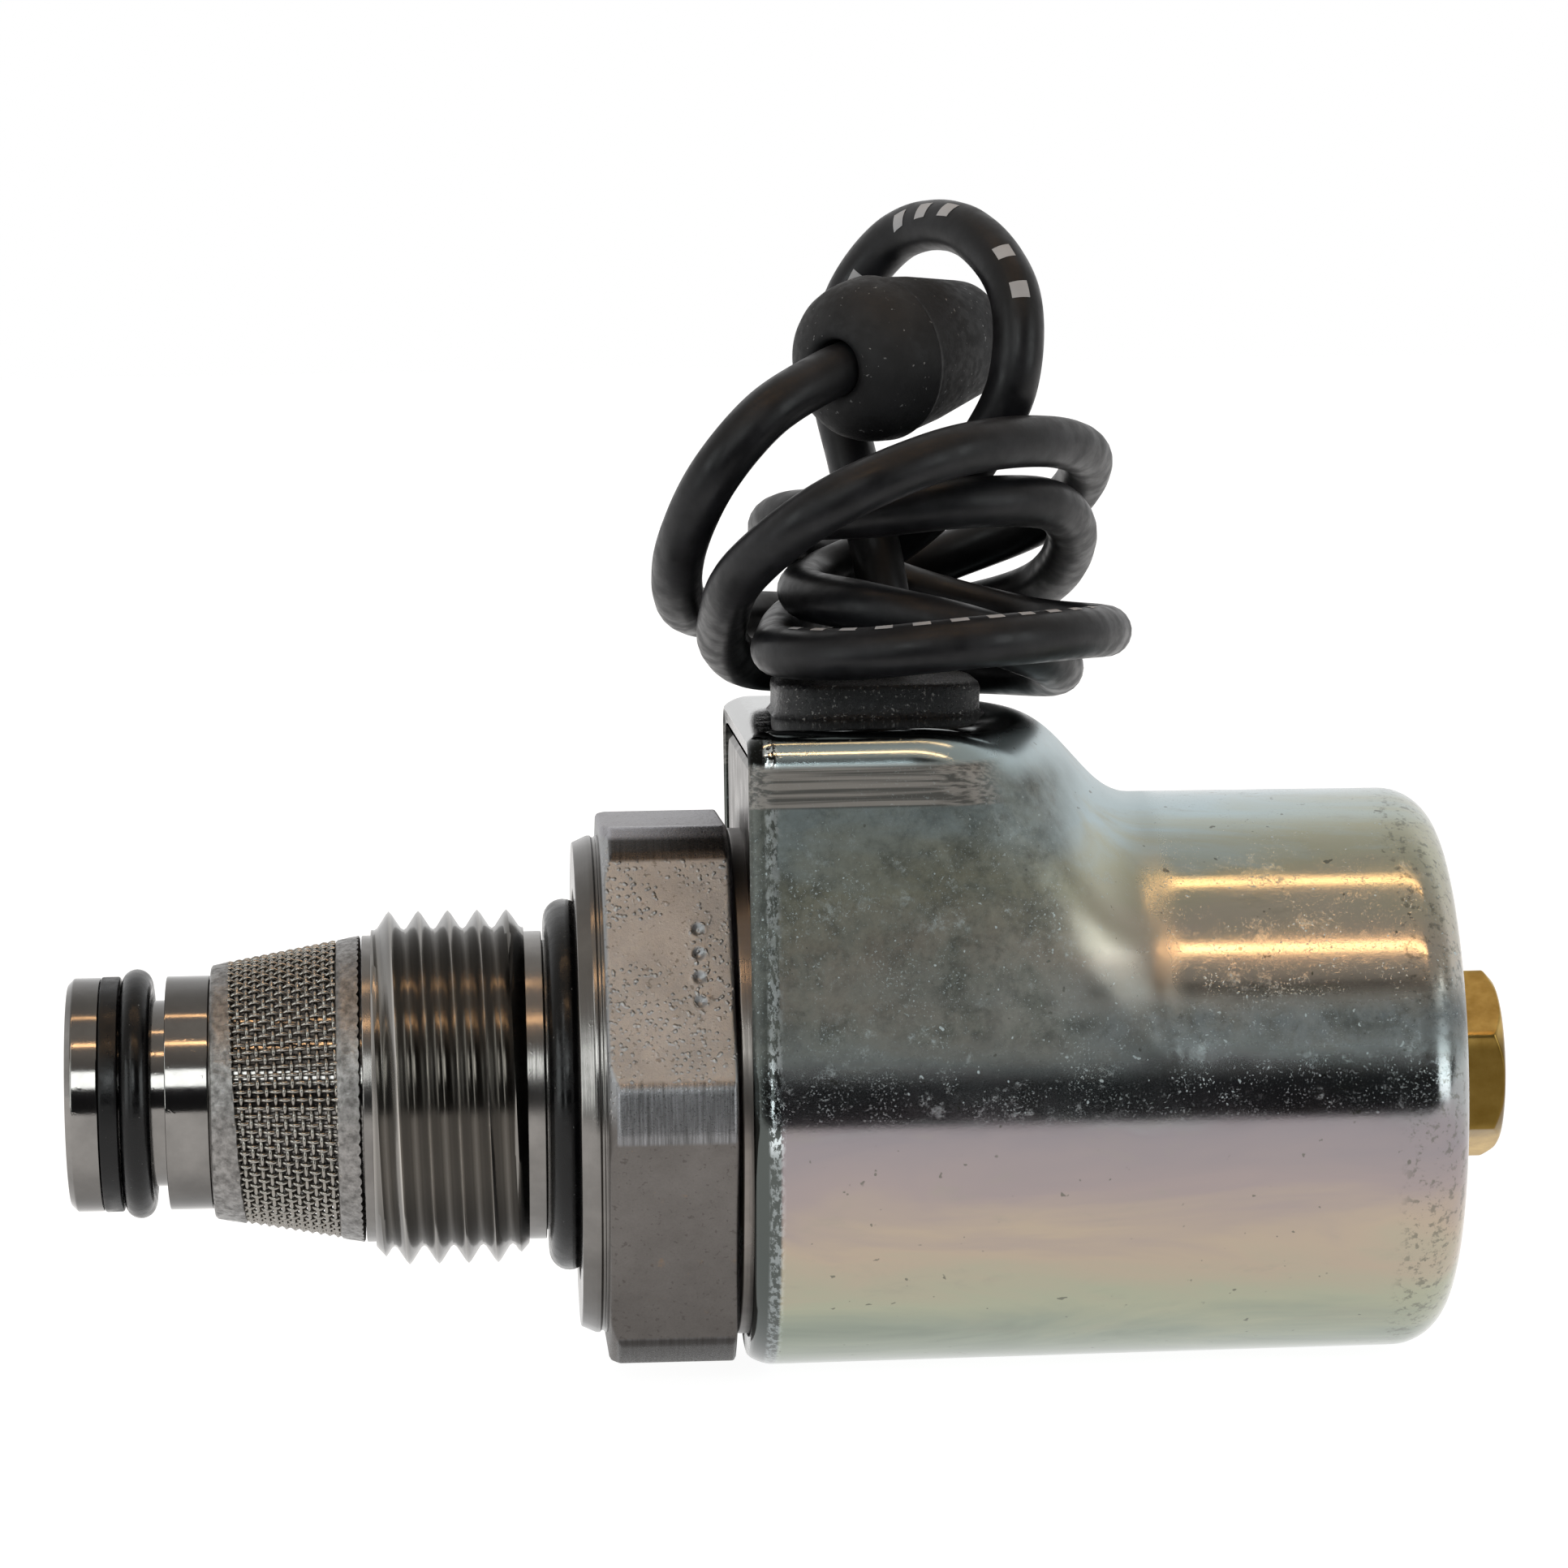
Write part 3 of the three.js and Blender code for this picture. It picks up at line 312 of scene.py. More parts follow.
def zinc_film(finish, along, height):
    """The colour of the chromate film: bands up the can, smudges and dark pits; painted shade at the open
    rim, a pale line along its fold that is partly worn metal and partly a painted highlight, and a painted
    near-black top.
    """
    lowest, tallest = -16.0, 36.0
    clouds = finish.noise(0.16, 4.0, 0.6, stretch=(0.35, 1.0, 1.0), distortion=0.8)
    level = finish.math("DIVIDE", finish.math("SUBTRACT", height, lowest), tallest)
    tone = finish.math("ADD", level, finish.times(finish.math("SUBTRACT", clouds, 0.5), 0.26))
    film = finish.ramp(
        tone, (0.02, (0.20, 0.23, 0.19)), (0.08, (0.28, 0.31, 0.25)), (0.14, (0.36, 0.37, 0.28)),
        (0.24, (0.42, 0.35, 0.275)), (0.33, (0.33, 0.28, 0.275)), (0.43, (0.27, 0.245, 0.26)),
        (0.54, (0.33, 0.37, 0.37)), (0.66, (0.46, 0.42, 0.36)), (0.79, (0.42, 0.42, 0.32)),
        (0.86, (0.42, 0.51, 0.53)))
    smudges = finish.noise(0.5, 6.0, 0.7, distortion=0.4, stretch=(0.4, 1, 1))
    film = finish.mix(finish.spread(smudges, 0.52, 0.78, 0.0, 0.4), film, (0.30, 0.29, 0.24))
    pits = finish.spread(finish.noise(1.5, 2.0, 0.6), 0.70, 0.74, 0.0, 0.75)
    end_specks = finish.times(finish.spread(finish.noise(2.0, 5.0, 0.7), 0.52, 0.62, 0.0, 0.6),
                             finish.spread(along, CAN_END - 4.2, CAN_END - 3.0))
    film = finish.mix(finish.most(pits, end_specks), film, (0.12, 0.12, 0.10))
    # painted shade: the open rim is painted dark, a painted dark reflection
    rim = finish.spread(along, CAN_START + 1.5, CAN_START + 1.3)
    film = finish.mix(rim, film, (0.09, 0.10, 0.095))
    # painted shade: darker still on the rim beside the boss's top
    lip = finish.times(rim, finish.spread(height, BOSS_TOP - 2.2, BOSS_TOP - 1.4))
    film = finish.mix(lip, film, (0.015, 0.016, 0.015))
    # a pale line along the rim's fold, fainter low down: partly worn metal, partly a painted highlight
    worn_rim_highlight = finish.times(finish.spread(along, CAN_START + 0.7, CAN_START + 0.9),
                            finish.spread(along, CAN_START + 1.7, CAN_START + 1.3))
    worn_rim_highlight = finish.times(worn_rim_highlight, finish.spread(height, -2.5, -1.0, 0.25, 1.0))
    worn = finish.spread(finish.noise(3.4, 4.0, 0.7, stretch=(1, 1, 0.5)), 0.46, 0.54)
    film = finish.mix(finish.times(worn_rim_highlight, worn), film, (0.75, 0.82, 0.84))
    # painted shade: the top of the boss is painted near black, a painted dark reflection
    roof = finish.spread(height, BOSS_TOP - 0.9, BOSS_TOP - 0.4, 0.0, 0.85)
    return finish.mix(roof, film, (0.02, 0.022, 0.02))


def zinc():
    """Clear-chromated zinc: its film, a dull haze and powdery bloom above the middle, and a glossy top."""
    finish = Finish("zinc_film", (0.45, 0.44, 0.4), metallic=1.0)
    along, height = finish.axis("X"), finish.axis("Z")
    film = zinc_film(finish, along, height)
    patches = finish.noise(0.22, 5.0, 0.62, stretch=(0.8, 1.0, 1.0))
    side = finish.times(finish.spread(height, -1.2, 0.6), finish.spread(height, 17.0, 13.0, 0.3, 1.0))
    where = finish.times(finish.spread(patches, 0.40, 0.60, 0.25, 1.0), side)
    crowd = finish.spread(finish.noise(0.5, 3.0, 0.6), 0.48, 0.66)
    specks = finish.times(finish.spread(finish.noise(5.5, 3.0, 0.65), 0.60, 0.68), crowd)
    dots = finish.times(finish.spread(finish.noise(2.8, 1.0, 0.5), 0.75, 0.78), 0.8)
    blotch = finish.spread(finish.noise(0.55, 10.0, 0.8), 0.56, 0.70, 0.0, 0.7)
    grit = finish.times(finish.spread(finish.noise(8.0, 2.0, 0.6), 0.61, 0.68, 0.0, 0.5),
                       finish.spread(finish.noise(0.4, 4.0, 0.7), 0.40, 0.62, 0.15, 1.0))
    bloom = finish.times(finish.most(specks, blotch), where)
    bloom = finish.most(bloom, finish.times(finish.most(dots, grit), side))
    veil = finish.times(finish.spread(height, 1.2, 4.2), finish.spread(height, 18.5, 16.5))
    curved = finish.most(finish.spread(along, BOSS_END + 2.0, BOSS_END - 2.0),
                         finish.spread(height, 6.5, 4.5))
    veil = finish.times(veil, curved)
    haze = finish.times(veil, finish.spread(finish.noise(0.5, 8.0, 0.7), 0.3, 0.7, 0.6, 0.95))
    past_boss = finish.spread(along, BOSS_END - 2.0, BOSS_END + 3.0)
    dust = finish.mix(past_boss, (0.080, 0.090, 0.078), (0.075, 0.095, 0.105))
    mottled = finish.noise(0.45, 10.0, 0.8, distortion=0.3)
    dust = finish.mix(finish.spread(mottled, 0.56, 0.42, 0.0, 0.85), dust, (0.022, 0.027, 0.023))
    film = finish.mix(haze, film, dust)
    draw_lines = finish.noise(1.0, 2.0, stretch=(0.06, 6.5, 6.5))
    drawn = finish.times(finish.spread(height, 15.9, 16.1),
                         finish.spread(along, BOSS_END - 3.0, BOSS_END - 5.0))
    drawn = finish.times(drawn, finish.spread(height, 18.4, 18.0))
    line_skin = finish.ramp(draw_lines, (0.40, (0.07, 0.07, 0.065)), (0.60, (0.21, 0.20, 0.185)))
    film = finish.mix(drawn, film, line_skin)
    finish.to("Base Color", finish.mix(bloom, film, (0.42, 0.50, 0.52)))
    dulled = finish.most(finish.times(bloom, 0.6), finish.times(haze, 0.9))
    dulled = finish.most(dulled, finish.times(drawn, 0.85))
    finish.to("Metallic", finish.math("SUBTRACT", 1.0, dulled))
    rough = finish.math("ADD", finish.spread(patches, 0.3, 0.7, 0.11, 0.16), finish.times(dulled, 0.3))
    fold = finish.times(finish.spread(along, BOSS_END - 5.5, BOSS_END - 3.0),
                       finish.spread(along, BOSS_END + 6.3, BOSS_END + 5.0))
    fold = finish.times(fold, finish.spread(height, 3.0, 6.0, 0.0, 0.16))
    gloss = finish.spread(height, BOSS_TOP - 0.7, BOSS_TOP - 0.3, 0.0, 0.1)
    finish.to("Roughness", finish.math("SUBTRACT", finish.math("ADD", rough, fold), gloss))
    return finish.bump((finish.noise(7.0, 4.0, 0.75), 0.4, 0.0035), (finish.noise(0.6, 3.0), 0.2, 0.012),
                       (bloom, 0.3, 0.02)).material


def brass():
    finish = Finish("brass", (0.4, 0.26, 0.08), metallic=1.0, roughness=0.28)
    stains = finish.noise(0.8, 4.0, 0.6)
    skin = finish.ramp(stains, (0.3, (0.34, 0.21, 0.05)), (0.7, (0.55, 0.37, 0.11)))
    height = finish.axis("Z")
    # painted shade: a band round the nut's middle height is painted dark
    mid_shade = finish.times(finish.spread(height, 2.6, 1.2), finish.spread(height, -4.2, -2.6))
    finish.to("Base Color", finish.mix(finish.times(mid_shade, 0.8), skin, (0.07, 0.04, 0.005)))
    lines = finish.noise(1.0, 2.0, stretch=(10.0, 0.4, 0.4))
    return finish.bump((lines, 0.3, 0.015), (finish.noise(8.0, 3.0), 0.3, 0.01)).material


def seal_rubber(name, roughness=0.22):
    """Oiled nitrile: near black, glossy, with specks of dust."""
    black = (0.0022, 0.0022, 0.0025)
    finish = Finish(name, black, roughness=roughness, Specular_IOR_Level=0.28)
    dust = finish.spread(finish.noise(4.5, 2.0), 0.72, 0.78)
    finish.to("Base Color", finish.mix(dust, black, (0.10, 0.10, 0.10)))
    smears = finish.noise(1.2, 4.0)
    finish.to("Roughness", finish.spread(smears, 0.3, 0.7, roughness * 0.8, roughness * 1.5))
    return finish.bump((finish.noise(1.6, 3.0), 0.25, 0.05), (dust, 0.5, 0.03)).material


def boot_rubber():
    """Matte moulded rubber with a dusting of pale specks."""
    finish = Finish("boot_rubber", (0.018, 0.018, 0.019), Specular_IOR_Level=0.3)
    dust = finish.spread(finish.noise(3.2, 2.0, 0.5), 0.69, 0.75)
    haze = finish.spread(finish.noise(0.5, 5.0, 0.65), 0.35, 0.75)
    skin = finish.mix(haze, (0.009, 0.009, 0.010), (0.017, 0.017, 0.018))
    finish.to("Base Color", finish.mix(dust, skin, (0.18, 0.18, 0.18)))
    finish.to("Roughness", finish.spread(finish.noise(2.0, 4.0), 0.3, 0.7, 0.55, 0.72))
    return finish.bump((finish.noise(7.0, 3.0, 0.6), 0.35, 0.03), (dust, 0.4, 0.03)).material


def lead_jacket():
    """Satin extruded jacket."""
    finish = Finish("lead_jacket", (0.012, 0.012, 0.013), Specular_IOR_Level=0.25)
    haze = finish.spread(finish.noise(0.45, 5.0, 0.6), 0.35, 0.75)
    finish.to("Base Color", finish.mix(haze, (0.006, 0.006, 0.007), (0.013, 0.013, 0.015)))
    finish.to("Roughness", finish.spread(finish.noise(0.8, 4.0), 0.3, 0.7, 0.32, 0.5))
    grain, ripples = finish.noise(5.0, 3.0, 0.6), finish.noise(0.7, 2.0)
    return finish.bump((grain, 0.2, 0.02), (ripples, 0.3, 0.06)).material


def epoxy():
    """Potting compound with a coarse, glittering skin."""
    finish = Finish("epoxy", (0.008, 0.008, 0.009), roughness=0.3)
    grit = finish.noise(4.0, 5.0, 0.7)
    glints = finish.spread(finish.noise(6.0, 2.0), 0.62, 0.70)
    finish.to("Base Color", finish.mix(glints, (0.008, 0.008, 0.009), (0.30, 0.29, 0.28)))
    finish.to("Roughness", finish.spread(grit, 0.35, 0.65, 0.22, 0.5))
    return finish.bump((grit, 0.8, 0.12), (glints, 0.6, 0.05)).material


def moulded(name, color, roughness):
    finish = Finish(name, color, roughness=roughness)
    pale = tuple(c * 1.5 for c in color)
    finish.to("Base Color", finish.mix(finish.noise(0.6, 4.0), color, pale))
    return finish.bump((finish.noise(6.0, 3.0), 0.3, 0.02)).material


def wire_metal(name, color, roughness, scale):
    finish = Finish(name, color, metallic=1.0, roughness=roughness)
    dark = tuple(c * 0.7 for c in color)
    finish.to("Base Color", finish.mix(finish.noise(scale, 3.0), dark, color))
    return finish.bump((finish.noise(scale * 4, 2.0), 0.3, 0.01)).material


def rough_band():
    """The screen's soldered band: bright, lumpy and crumbly."""
    finish = Finish("rough_band", (0.42, 0.41, 0.40), metallic=1.0, roughness=0.34)
    lumps = finish.noise(2.4, 5.0, 0.65)
    finish.to("Base Color", finish.ramp(lumps, (0.35, (0.13, 0.125, 0.12)), (0.65, (0.30, 0.29, 0.28))))
    finish.to("Roughness", finish.spread(lumps, 0.35, 0.65, 0.42, 0.28))
    return finish.bump((lumps, 0.7, 0.10), (finish.noise(9.0, 3.0), 0.5, 0.03)).material


# ---- Mesh helpers -------------------------------------------------------------------------------


def piece(name, verts, faces, material, slot, body, nodes=(), sharp=32):
    """A mesh from points in millimetres, smooth except at its sharp edges, riding on a CAD body."""
    mesh = bpy.data.meshes.new(name)
    mesh.from_pydata((np.asarray(verts, float) * MM).tolist(), [], faces)
    shape = bmesh.new()
    shape.from_mesh(mesh)
    bmesh.ops.remove_doubles(shape, verts=shape.verts, dist=2e-7)
    bmesh.ops.recalc_face_normals(shape, faces=shape.faces)
    shape.to_mesh(mesh)
    shape.free()
    mesh.shade_smooth()
    mesh.set_sharp_from_angle(angle=radians(sharp))
    mesh.materials.append(material)
    made = bpy.data.objects.new(name, mesh)
    bpy.context.scene.collection.objects.link(made)
    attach(made, body)
    if nodes:
        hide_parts(*nodes)
    return made


def grid(points, wrap_rows=True, wrap_columns=True, offset=0):
    """Quads over a rows x columns array of points, and its points as a flat list."""
    points = np.asarray(points, float)
    rows, columns = points.shape[:2]
    r = np.arange(rows if wrap_rows else rows - 1)
    c = np.arange(columns if wrap_columns else columns - 1)
    r, c = (a.ravel() for a in np.meshgrid(r, c, indexing="ij"))
    below, across = (r + 1) % rows, (c + 1) % columns
    corners = (r * columns + c, r * columns + across, below * columns + across, below * columns + c)
    quads = np.stack(corners, 1)
    return points.reshape(-1, 3), (quads + offset).tolist()


def joined(*parts):
    """Several (verts, faces) as one."""
    verts, faces = [], []
    for part_verts, part_faces in parts:
        base = sum(len(v) for v in verts)
        verts.append(np.asarray(part_verts, float))
        faces += [[i + base for i in face] for face in part_faces]
    return np.concatenate(verts), faces


def round_x(x, radius, angle):
    """Points at an angle round X, as an array with (x, y, z) last."""
    return np.stack(np.broadcast_arrays(x, radius * np.cos(angle), radius * np.sin(angle)), -1)


def at_x(x, outline):
    """A (y, z) outline as points at X."""
    return np.concatenate([np.full((len(outline), 1), x), outline], 1)


def at_height(height, outline):
    """An (x, y) outline as points at a height over the boss."""
    return np.concatenate([outline, np.full((len(outline), 1), BOSS_TOP + height)], 1)


def softened(profile, radius, steps=3):
    """Round the corners of a closed [x, r] profile, leaving the points on the axis.

    A guard point on each side of a corner keeps the shading of the straight runs flat.
    """
    profile = [np.array(p, float) for p in profile]
    points = []
    for i, corner in enumerate(profile):
        before, after = profile[i - 1] - corner, profile[(i + 1) % len(profile)] - corner
        if corner[1] == 0:
            points.append(corner)
            continue
        lengths = np.linalg.norm(before), np.linalg.norm(after)
        reach = min(radius, lengths[0] / 2.8, lengths[1] / 2.8)
        back, onward = before / lengths[0] * reach, after / lengths[1] * reach
        points.append(corner + 1.3 * back)
        for t in np.linspace(0, 1, steps + 1):
            points.append(corner + (1 - t) ** 2 * back + t * t * onward)
        points.append(corner + 1.3 * onward)
    return points


def turned(profile, sides=160, soften=0.0):
    """A closed [x, r] profile turned about X."""
    profile = np.asarray(softened(profile, soften) if soften else profile, float)
    angle = np.arange(sides) * 2 * pi / sides
    return grid(round_x(profile[:, :1], profile[:, 1:], angle))


def o_ring(centre, inner, section, sides=160):
    angle = np.arange(28) * 2 * pi / 28
    half = section / 2
    return turned([(centre + half * cos(a), inner + half + half * sin(a)) for a in angle], sides)


def soft_min(a, b, width):
    """The smaller of two, rounded where they cross."""
    near = np.clip(1 - np.abs(a - b) / width, 0, None)
    return np.minimum(a, b) - near ** 2 * width / 4


def catmull(points, per_span):
    """Centripetal Catmull-Rom through the points, as the CAD model's lead follows."""
    points = [np.array(p, float) for p in points]
    ends = [2 * points[0] - points[1], *points, 2 * points[-1] - points[-2]]
    curve = []
    for p0, p1, p2, p3 in zip(ends, ends[1:], ends[2:], ends[3:]):
        t1 = np.linalg.norm(p1 - p0) ** 0.5
        t2 = t1 + np.linalg.norm(p2 - p1) ** 0.5
        t3 = t2 + np.linalg.norm(p3 - p2) ** 0.5
        for t in np.linspace(t1, t2, per_span, endpoint=False):
            a1 = ((t1 - t) * p0 + t * p1) / t1
            a2 = ((t2 - t) * p1 + (t - t1) * p2) / (t2 - t1)
            a3 = ((t3 - t) * p2 + (t - t2) * p3) / (t3 - t2)
            b1 = ((t2 - t) * a1 + t * a2) / t2
            b2 = ((t3 - t) * a2 + (t - t1) * a3) / (t3 - t1)
            curve.append(((t2 - t) * b1 + (t - t1) * b2) / (t2 - t1))
    return np.array([*curve, points[-1]])


def frames_along(path):
    """Tangents and two normals at each point of a path, with no sudden twist."""
    tangents = np.gradient(path, axis=0)
    tangents /= np.linalg.norm(tangents, axis=1)[:, None]
    side = np.cross(tangents[0], (0.3, 0.2, 1.0))
    sides = []
    for tangent in tangents:
        side = side - tangent * (side @ tangent)
        side /= np.linalg.norm(side)
        sides.append(side)
    sides = np.array(sides)
    return tangents, sides, np.cross(tangents, sides)


def tube(path, radius, sides, closed=False):
    """A round tube along a path."""
    _, first, second = frames_along(path)
    if closed:
        first, second = _closed_frames(path)
    angle = np.arange(sides) * 2 * pi / sides
    ring = first[:, None] * np.cos(angle)[None, :, None] + second[:, None] * np.sin(angle)[None, :, None]
    return grid(path[:, None] + ring * radius, wrap_rows=closed)


def _closed_frames(path):
    """Normals for a hoop round X: one radial, one square to it and to the path."""
    tangents = np.roll(path, -1, 0) - np.roll(path, 1, 0)
    tangents /= np.linalg.norm(tangents, axis=1)[:, None]
    radial = path * (0, 1, 1)
    radial -= tangents * (radial * tangents).sum(1)[:, None]
    radial /= np.linalg.norm(radial, axis=1)[:, None]
    return radial, np.cross(tangents, radial)


# ---- The cartridge ------------------------------------------------------------------------------


def helical_thread(start, end, crest, root, pitch, lead_in, phase=0.0, sides=240, steps=10):
    """A right-hand V thread as one skin, its ends closed down to the root's cylinder."""
    turns = math.ceil((end - start) / pitch) + 3
    angle = np.arange(sides + 1) * 2 * pi / sides
    place = np.arange(turns * steps + 1) / steps
    x = start - 2 * pitch + phase + (place[:, None] + angle[None] / (2 * pi)) * pitch
    wave = np.abs((place % 1.0) * 2 - 1)
    crest_flat, root_round = 0.06, 0.12
    shape = np.clip((wave - root_round) / (1 - crest_flat - root_round), 0, 1)
    radius = np.repeat((root + (crest - root) * shape)[:, None], sides + 1, 1)
    slope = (crest - root) / lead_in
    radius = np.minimum(radius, root + np.clip(x - start, 0, None) * slope)
    radius = np.minimum(radius, root + np.clip(end - x, 0, None) * slope)
    x = np.clip(x, start, end)
    return grid(round_x(x, radius, angle), wrap_rows=False, wrap_columns=False)


def hexagon(start, end, flat, corner, turn, bevels, columns=720, dots=()):
    """A hexagonal bar with turned corners, a cone at each end, worn edges and, on one flat, punch dots."""
    x = np.concatenate([[start, start], np.linspace(start, end, 74), [end, end]])
    angle = turn + np.arange(columns) * 2 * pi / columns
    flats = flat / np.cos((angle - turn) % (pi / 3) - pi / 6)
    from_end = np.minimum(x - start, end - x)[:, None]
    cones = (corner - bevels[0] + (x - start) * BEVEL_SLOPE, corner - bevels[1] + (end - x) * BEVEL_SLOPE)
    cone = np.minimum(*cones)[:, None]
    radius = soft_min(soft_min(flats[None], np.full_like(cone, corner), 0.12), cone, 0.12)
    radius = radius - 0.15 * np.clip(1 - from_end / 0.15, 0, 1) ** 2
    for dot_x, dot_angle, size in dots:
        across = ((angle - dot_angle + pi) % (2 * pi) - pi)[None] * flat
        far = np.hypot(x[:, None] - dot_x, across) / size
        raised_rim = 0.03 * np.exp(-((far - 1.15) / 0.2) ** 2)
        radius = radius - 0.22 * np.clip(1 - far ** 2, 0, 1) ** 1.5 + raised_rim
    radius[0] = radius[-1] = TUBE_RADIUS + 0.06
    return grid(round_x(x[:, None], radius, angle))


def cone_radius(x):
    return SCREEN_FRONT + (x - SCREEN_START) * (SCREEN_REAR - SCREEN_FRONT) / (SCREEN_END - SCREEN_START)


def make_body(steel, thread_skin, hex_skin):
    neck = turned([
        (NECK_START, 5.76), (NECK_START, FRONT_NECK), (THREAD_START + 0.2, FRONT_NECK),
        (THREAD_START + 0.2, RELIEF), (RELIEF_END, RELIEF), (RELIEF_END, SEAL_GROOVE),
        (RECESS_DEPTH, SEAL_GROOVE),
        (RECESS_DEPTH, SEAT_RECESS), (0, SEAT_RECESS), (0, SEAT_RADIUS - 0.36), (SEAT_CHAMFER, SEAT_RADIUS),
        (1.0, SEAT_RADIUS), (1.05, SEAT_RADIUS - 0.1), (1.2, SEAT_RADIUS - 0.1), (1.25, SEAT_RADIUS),
        (HEX_START + 0.1, SEAT_RADIUS), (HEX_START + 0.1, 5.76),
    ], 240, 0.07)
    piece("body_seat", *neck, steel, "machined_steel", "valve", ["valve_body"])
    root = THREAD_RADIUS - THREAD_DEPTH
    thread = helical_thread(THREAD_START, THREAD_END, THREAD_RADIUS, root, THREAD_PITCH, 0.9, THREAD_PHASE)
    piece("body_thread", *thread, thread_skin, "machined_steel", "valve", ["valve_body"], sharp=50)
    stamp = [(6.3, radians(angle), 0.36) for angle in (139.5, 145.0, 150.5, 156.0)]
    hexagonal = hexagon(HEX_START, HEX_END, HEX_FLAT, HEX_CORNER, HEX_TURN,
                        (HEX_FRONT_BEVEL, HEX_BACK_BEVEL), dots=stamp)
    piece("body_hex", *hexagonal, hex_skin, "machined_steel", "valve", ["valve_body"], sharp=60)


def make_nose(ground, seal, backup):
    cage = turned([
        (NOSE_TIP, CAGE_PORT), (NOSE_TIP, NOSE_LAND - NOSE_CHAMFER), (NOSE_TIP + NOSE_CHAMFER, NOSE_LAND),
        (GROOVE_START, NOSE_LAND), (GROOVE_START, NOSE_GROOVE), (GROOVE_END, NOSE_GROOVE),
        (GROOVE_END, NOSE_LAND), (SCREEN_START - SCREEN_STEP, NOSE_LAND),
        (SCREEN_START - SCREEN_STEP, SCREEN_COLLAR), (SCREEN_START + FRONT_BAND, SCREEN_COLLAR),
        (SCREEN_START + FRONT_BAND, CAGE_SHANK), (CAGE_END, CAGE_SHANK), (CAGE_END, CAGE_BORE),
        (CAGE_STEP, CAGE_BORE), (CAGE_STEP, CAGE_PORT),
    ], 200, 0.06)
    piece("nose", *cage, ground, "ground_steel", "valve", ["nose_cage"])
    rubber = o_ring(NOSE_SEAL, NOSE_GROOVE + 0.06, NOSE_SEAL_SECTION)
    piece("nose_seal", *rubber, seal, "seal_rubber", "valve", ["nose_o_ring"])
    back = turned([(GROOVE_START + 0.05, NOSE_GROOVE + 0.06), (GROOVE_START + 0.05, BACKUP_RADIUS),
                   (BACKUP_END, BACKUP_RADIUS), (BACKUP_END, NOSE_GROOVE + 0.06)], 160, 0.12)
    piece("nose_backup", *back, backup, "backup_plastic", "valve", ["nose_backup_ring"])
    port_ring = o_ring(PORT_SEAL, SEAL_GROOVE + 0.06, PORT_SEAL_SECTION)
    piece("port_seal", *port_ring, seal, "seal_rubber", "valve", ["port_o_ring"])


def band(start, end, tilt, thickness, lumps, rng, teeth=0.0):
    """A rough band of the screen. Its mesh-side edge leans, and its rim can be crumbly."""
    sides = 240
    angle = np.arange(sides) * 2 * pi / sides
    lean = -tilt * np.sin(angle)
    crumbs = teeth * np.where(np.arange(sides) % 3 == 0, 1.0, 0.0) * rng.uniform(0.4, 1.0, sides)
    rows = []
    share = [0, 0, 0.08, 0.3, 0.55, 0.8, 0.95, 1, 1]
    depth = [thickness, 0.1, 0.0, 0, 0, 0, 0.0, 0.12, thickness]
    for t, d in zip(share, depth):
        left = start + (lean if tilt < 0 else 0)
        right = end + (lean if tilt > 0 else 0) - crumbs
        x = left + (right - left) * t
        wobble = rng.normal(0, lumps, sides) if 0 < t < 1 else 0
        radius = cone_radius(x) - d + wobble
        rows.append(round_x(x, radius, angle))
    return grid(rows)


def make_screen(wire, rough):
    rng = np.random.default_rng(11)
    first, last, tilt = SCREEN_START + FRONT_BAND + 0.15, SCREEN_END - REAR_BAND, 0.35
    front = band(SCREEN_START, first, tilt, FRONT_DEPTH, 0.012, rng)
    rear = band(last, SCREEN_END, 0.0, REAR_DEPTH, 0.010, rng, teeth=0.14)
    piece("screen_front", *front, rough, "screen_steel", "valve", ["screen_front_band"], sharp=60)
    piece("screen_rear", *rear, rough, "screen_steel", "valve", ["screen_rear_band"], sharp=60)
    # plain weave: hoops round X and wires along it, each over one and under the next
    pitch, wire_radius, along, wave, depth, lean = 0.46, 0.108, 104, 0.10, 0.2, 0.25
    start, end = first - tilt, last + 0.2
    hoops = int((end - start) / pitch)
    parts = []
    samples = along * 4
    angle = np.arange(samples) * 2 * pi / samples
    for i in range(hoops + 1):
        x = start + (i + 0.5) * pitch - lean * np.sin(angle)
        phase = np.cos(angle * along / 2 + pi * i)
        radius = cone_radius(x) - depth + wave * phase
        parts.append(tube(round_x(x, radius, angle), wire_radius, 6, closed=True))
    for j in range(along):
        turn = j * 2 * pi / along
        x = np.linspace(start, end, hoops * 4 + 1)
        phase = -np.cos((x - start - 0.5 * pitch) / pitch * pi + pi * j)
        radius = cone_radius(x) - depth + wave * phase
        parts.append(tube(round_x(x - lean * sin(turn), radius, turn), wire_radius, 6))
    piece("screen_weave", *joined(*parts), wire, "screen_steel", "valve", ["screen_mesh"], sharp=80)


# ---- The coil -----------------------------------------------------------------------------------


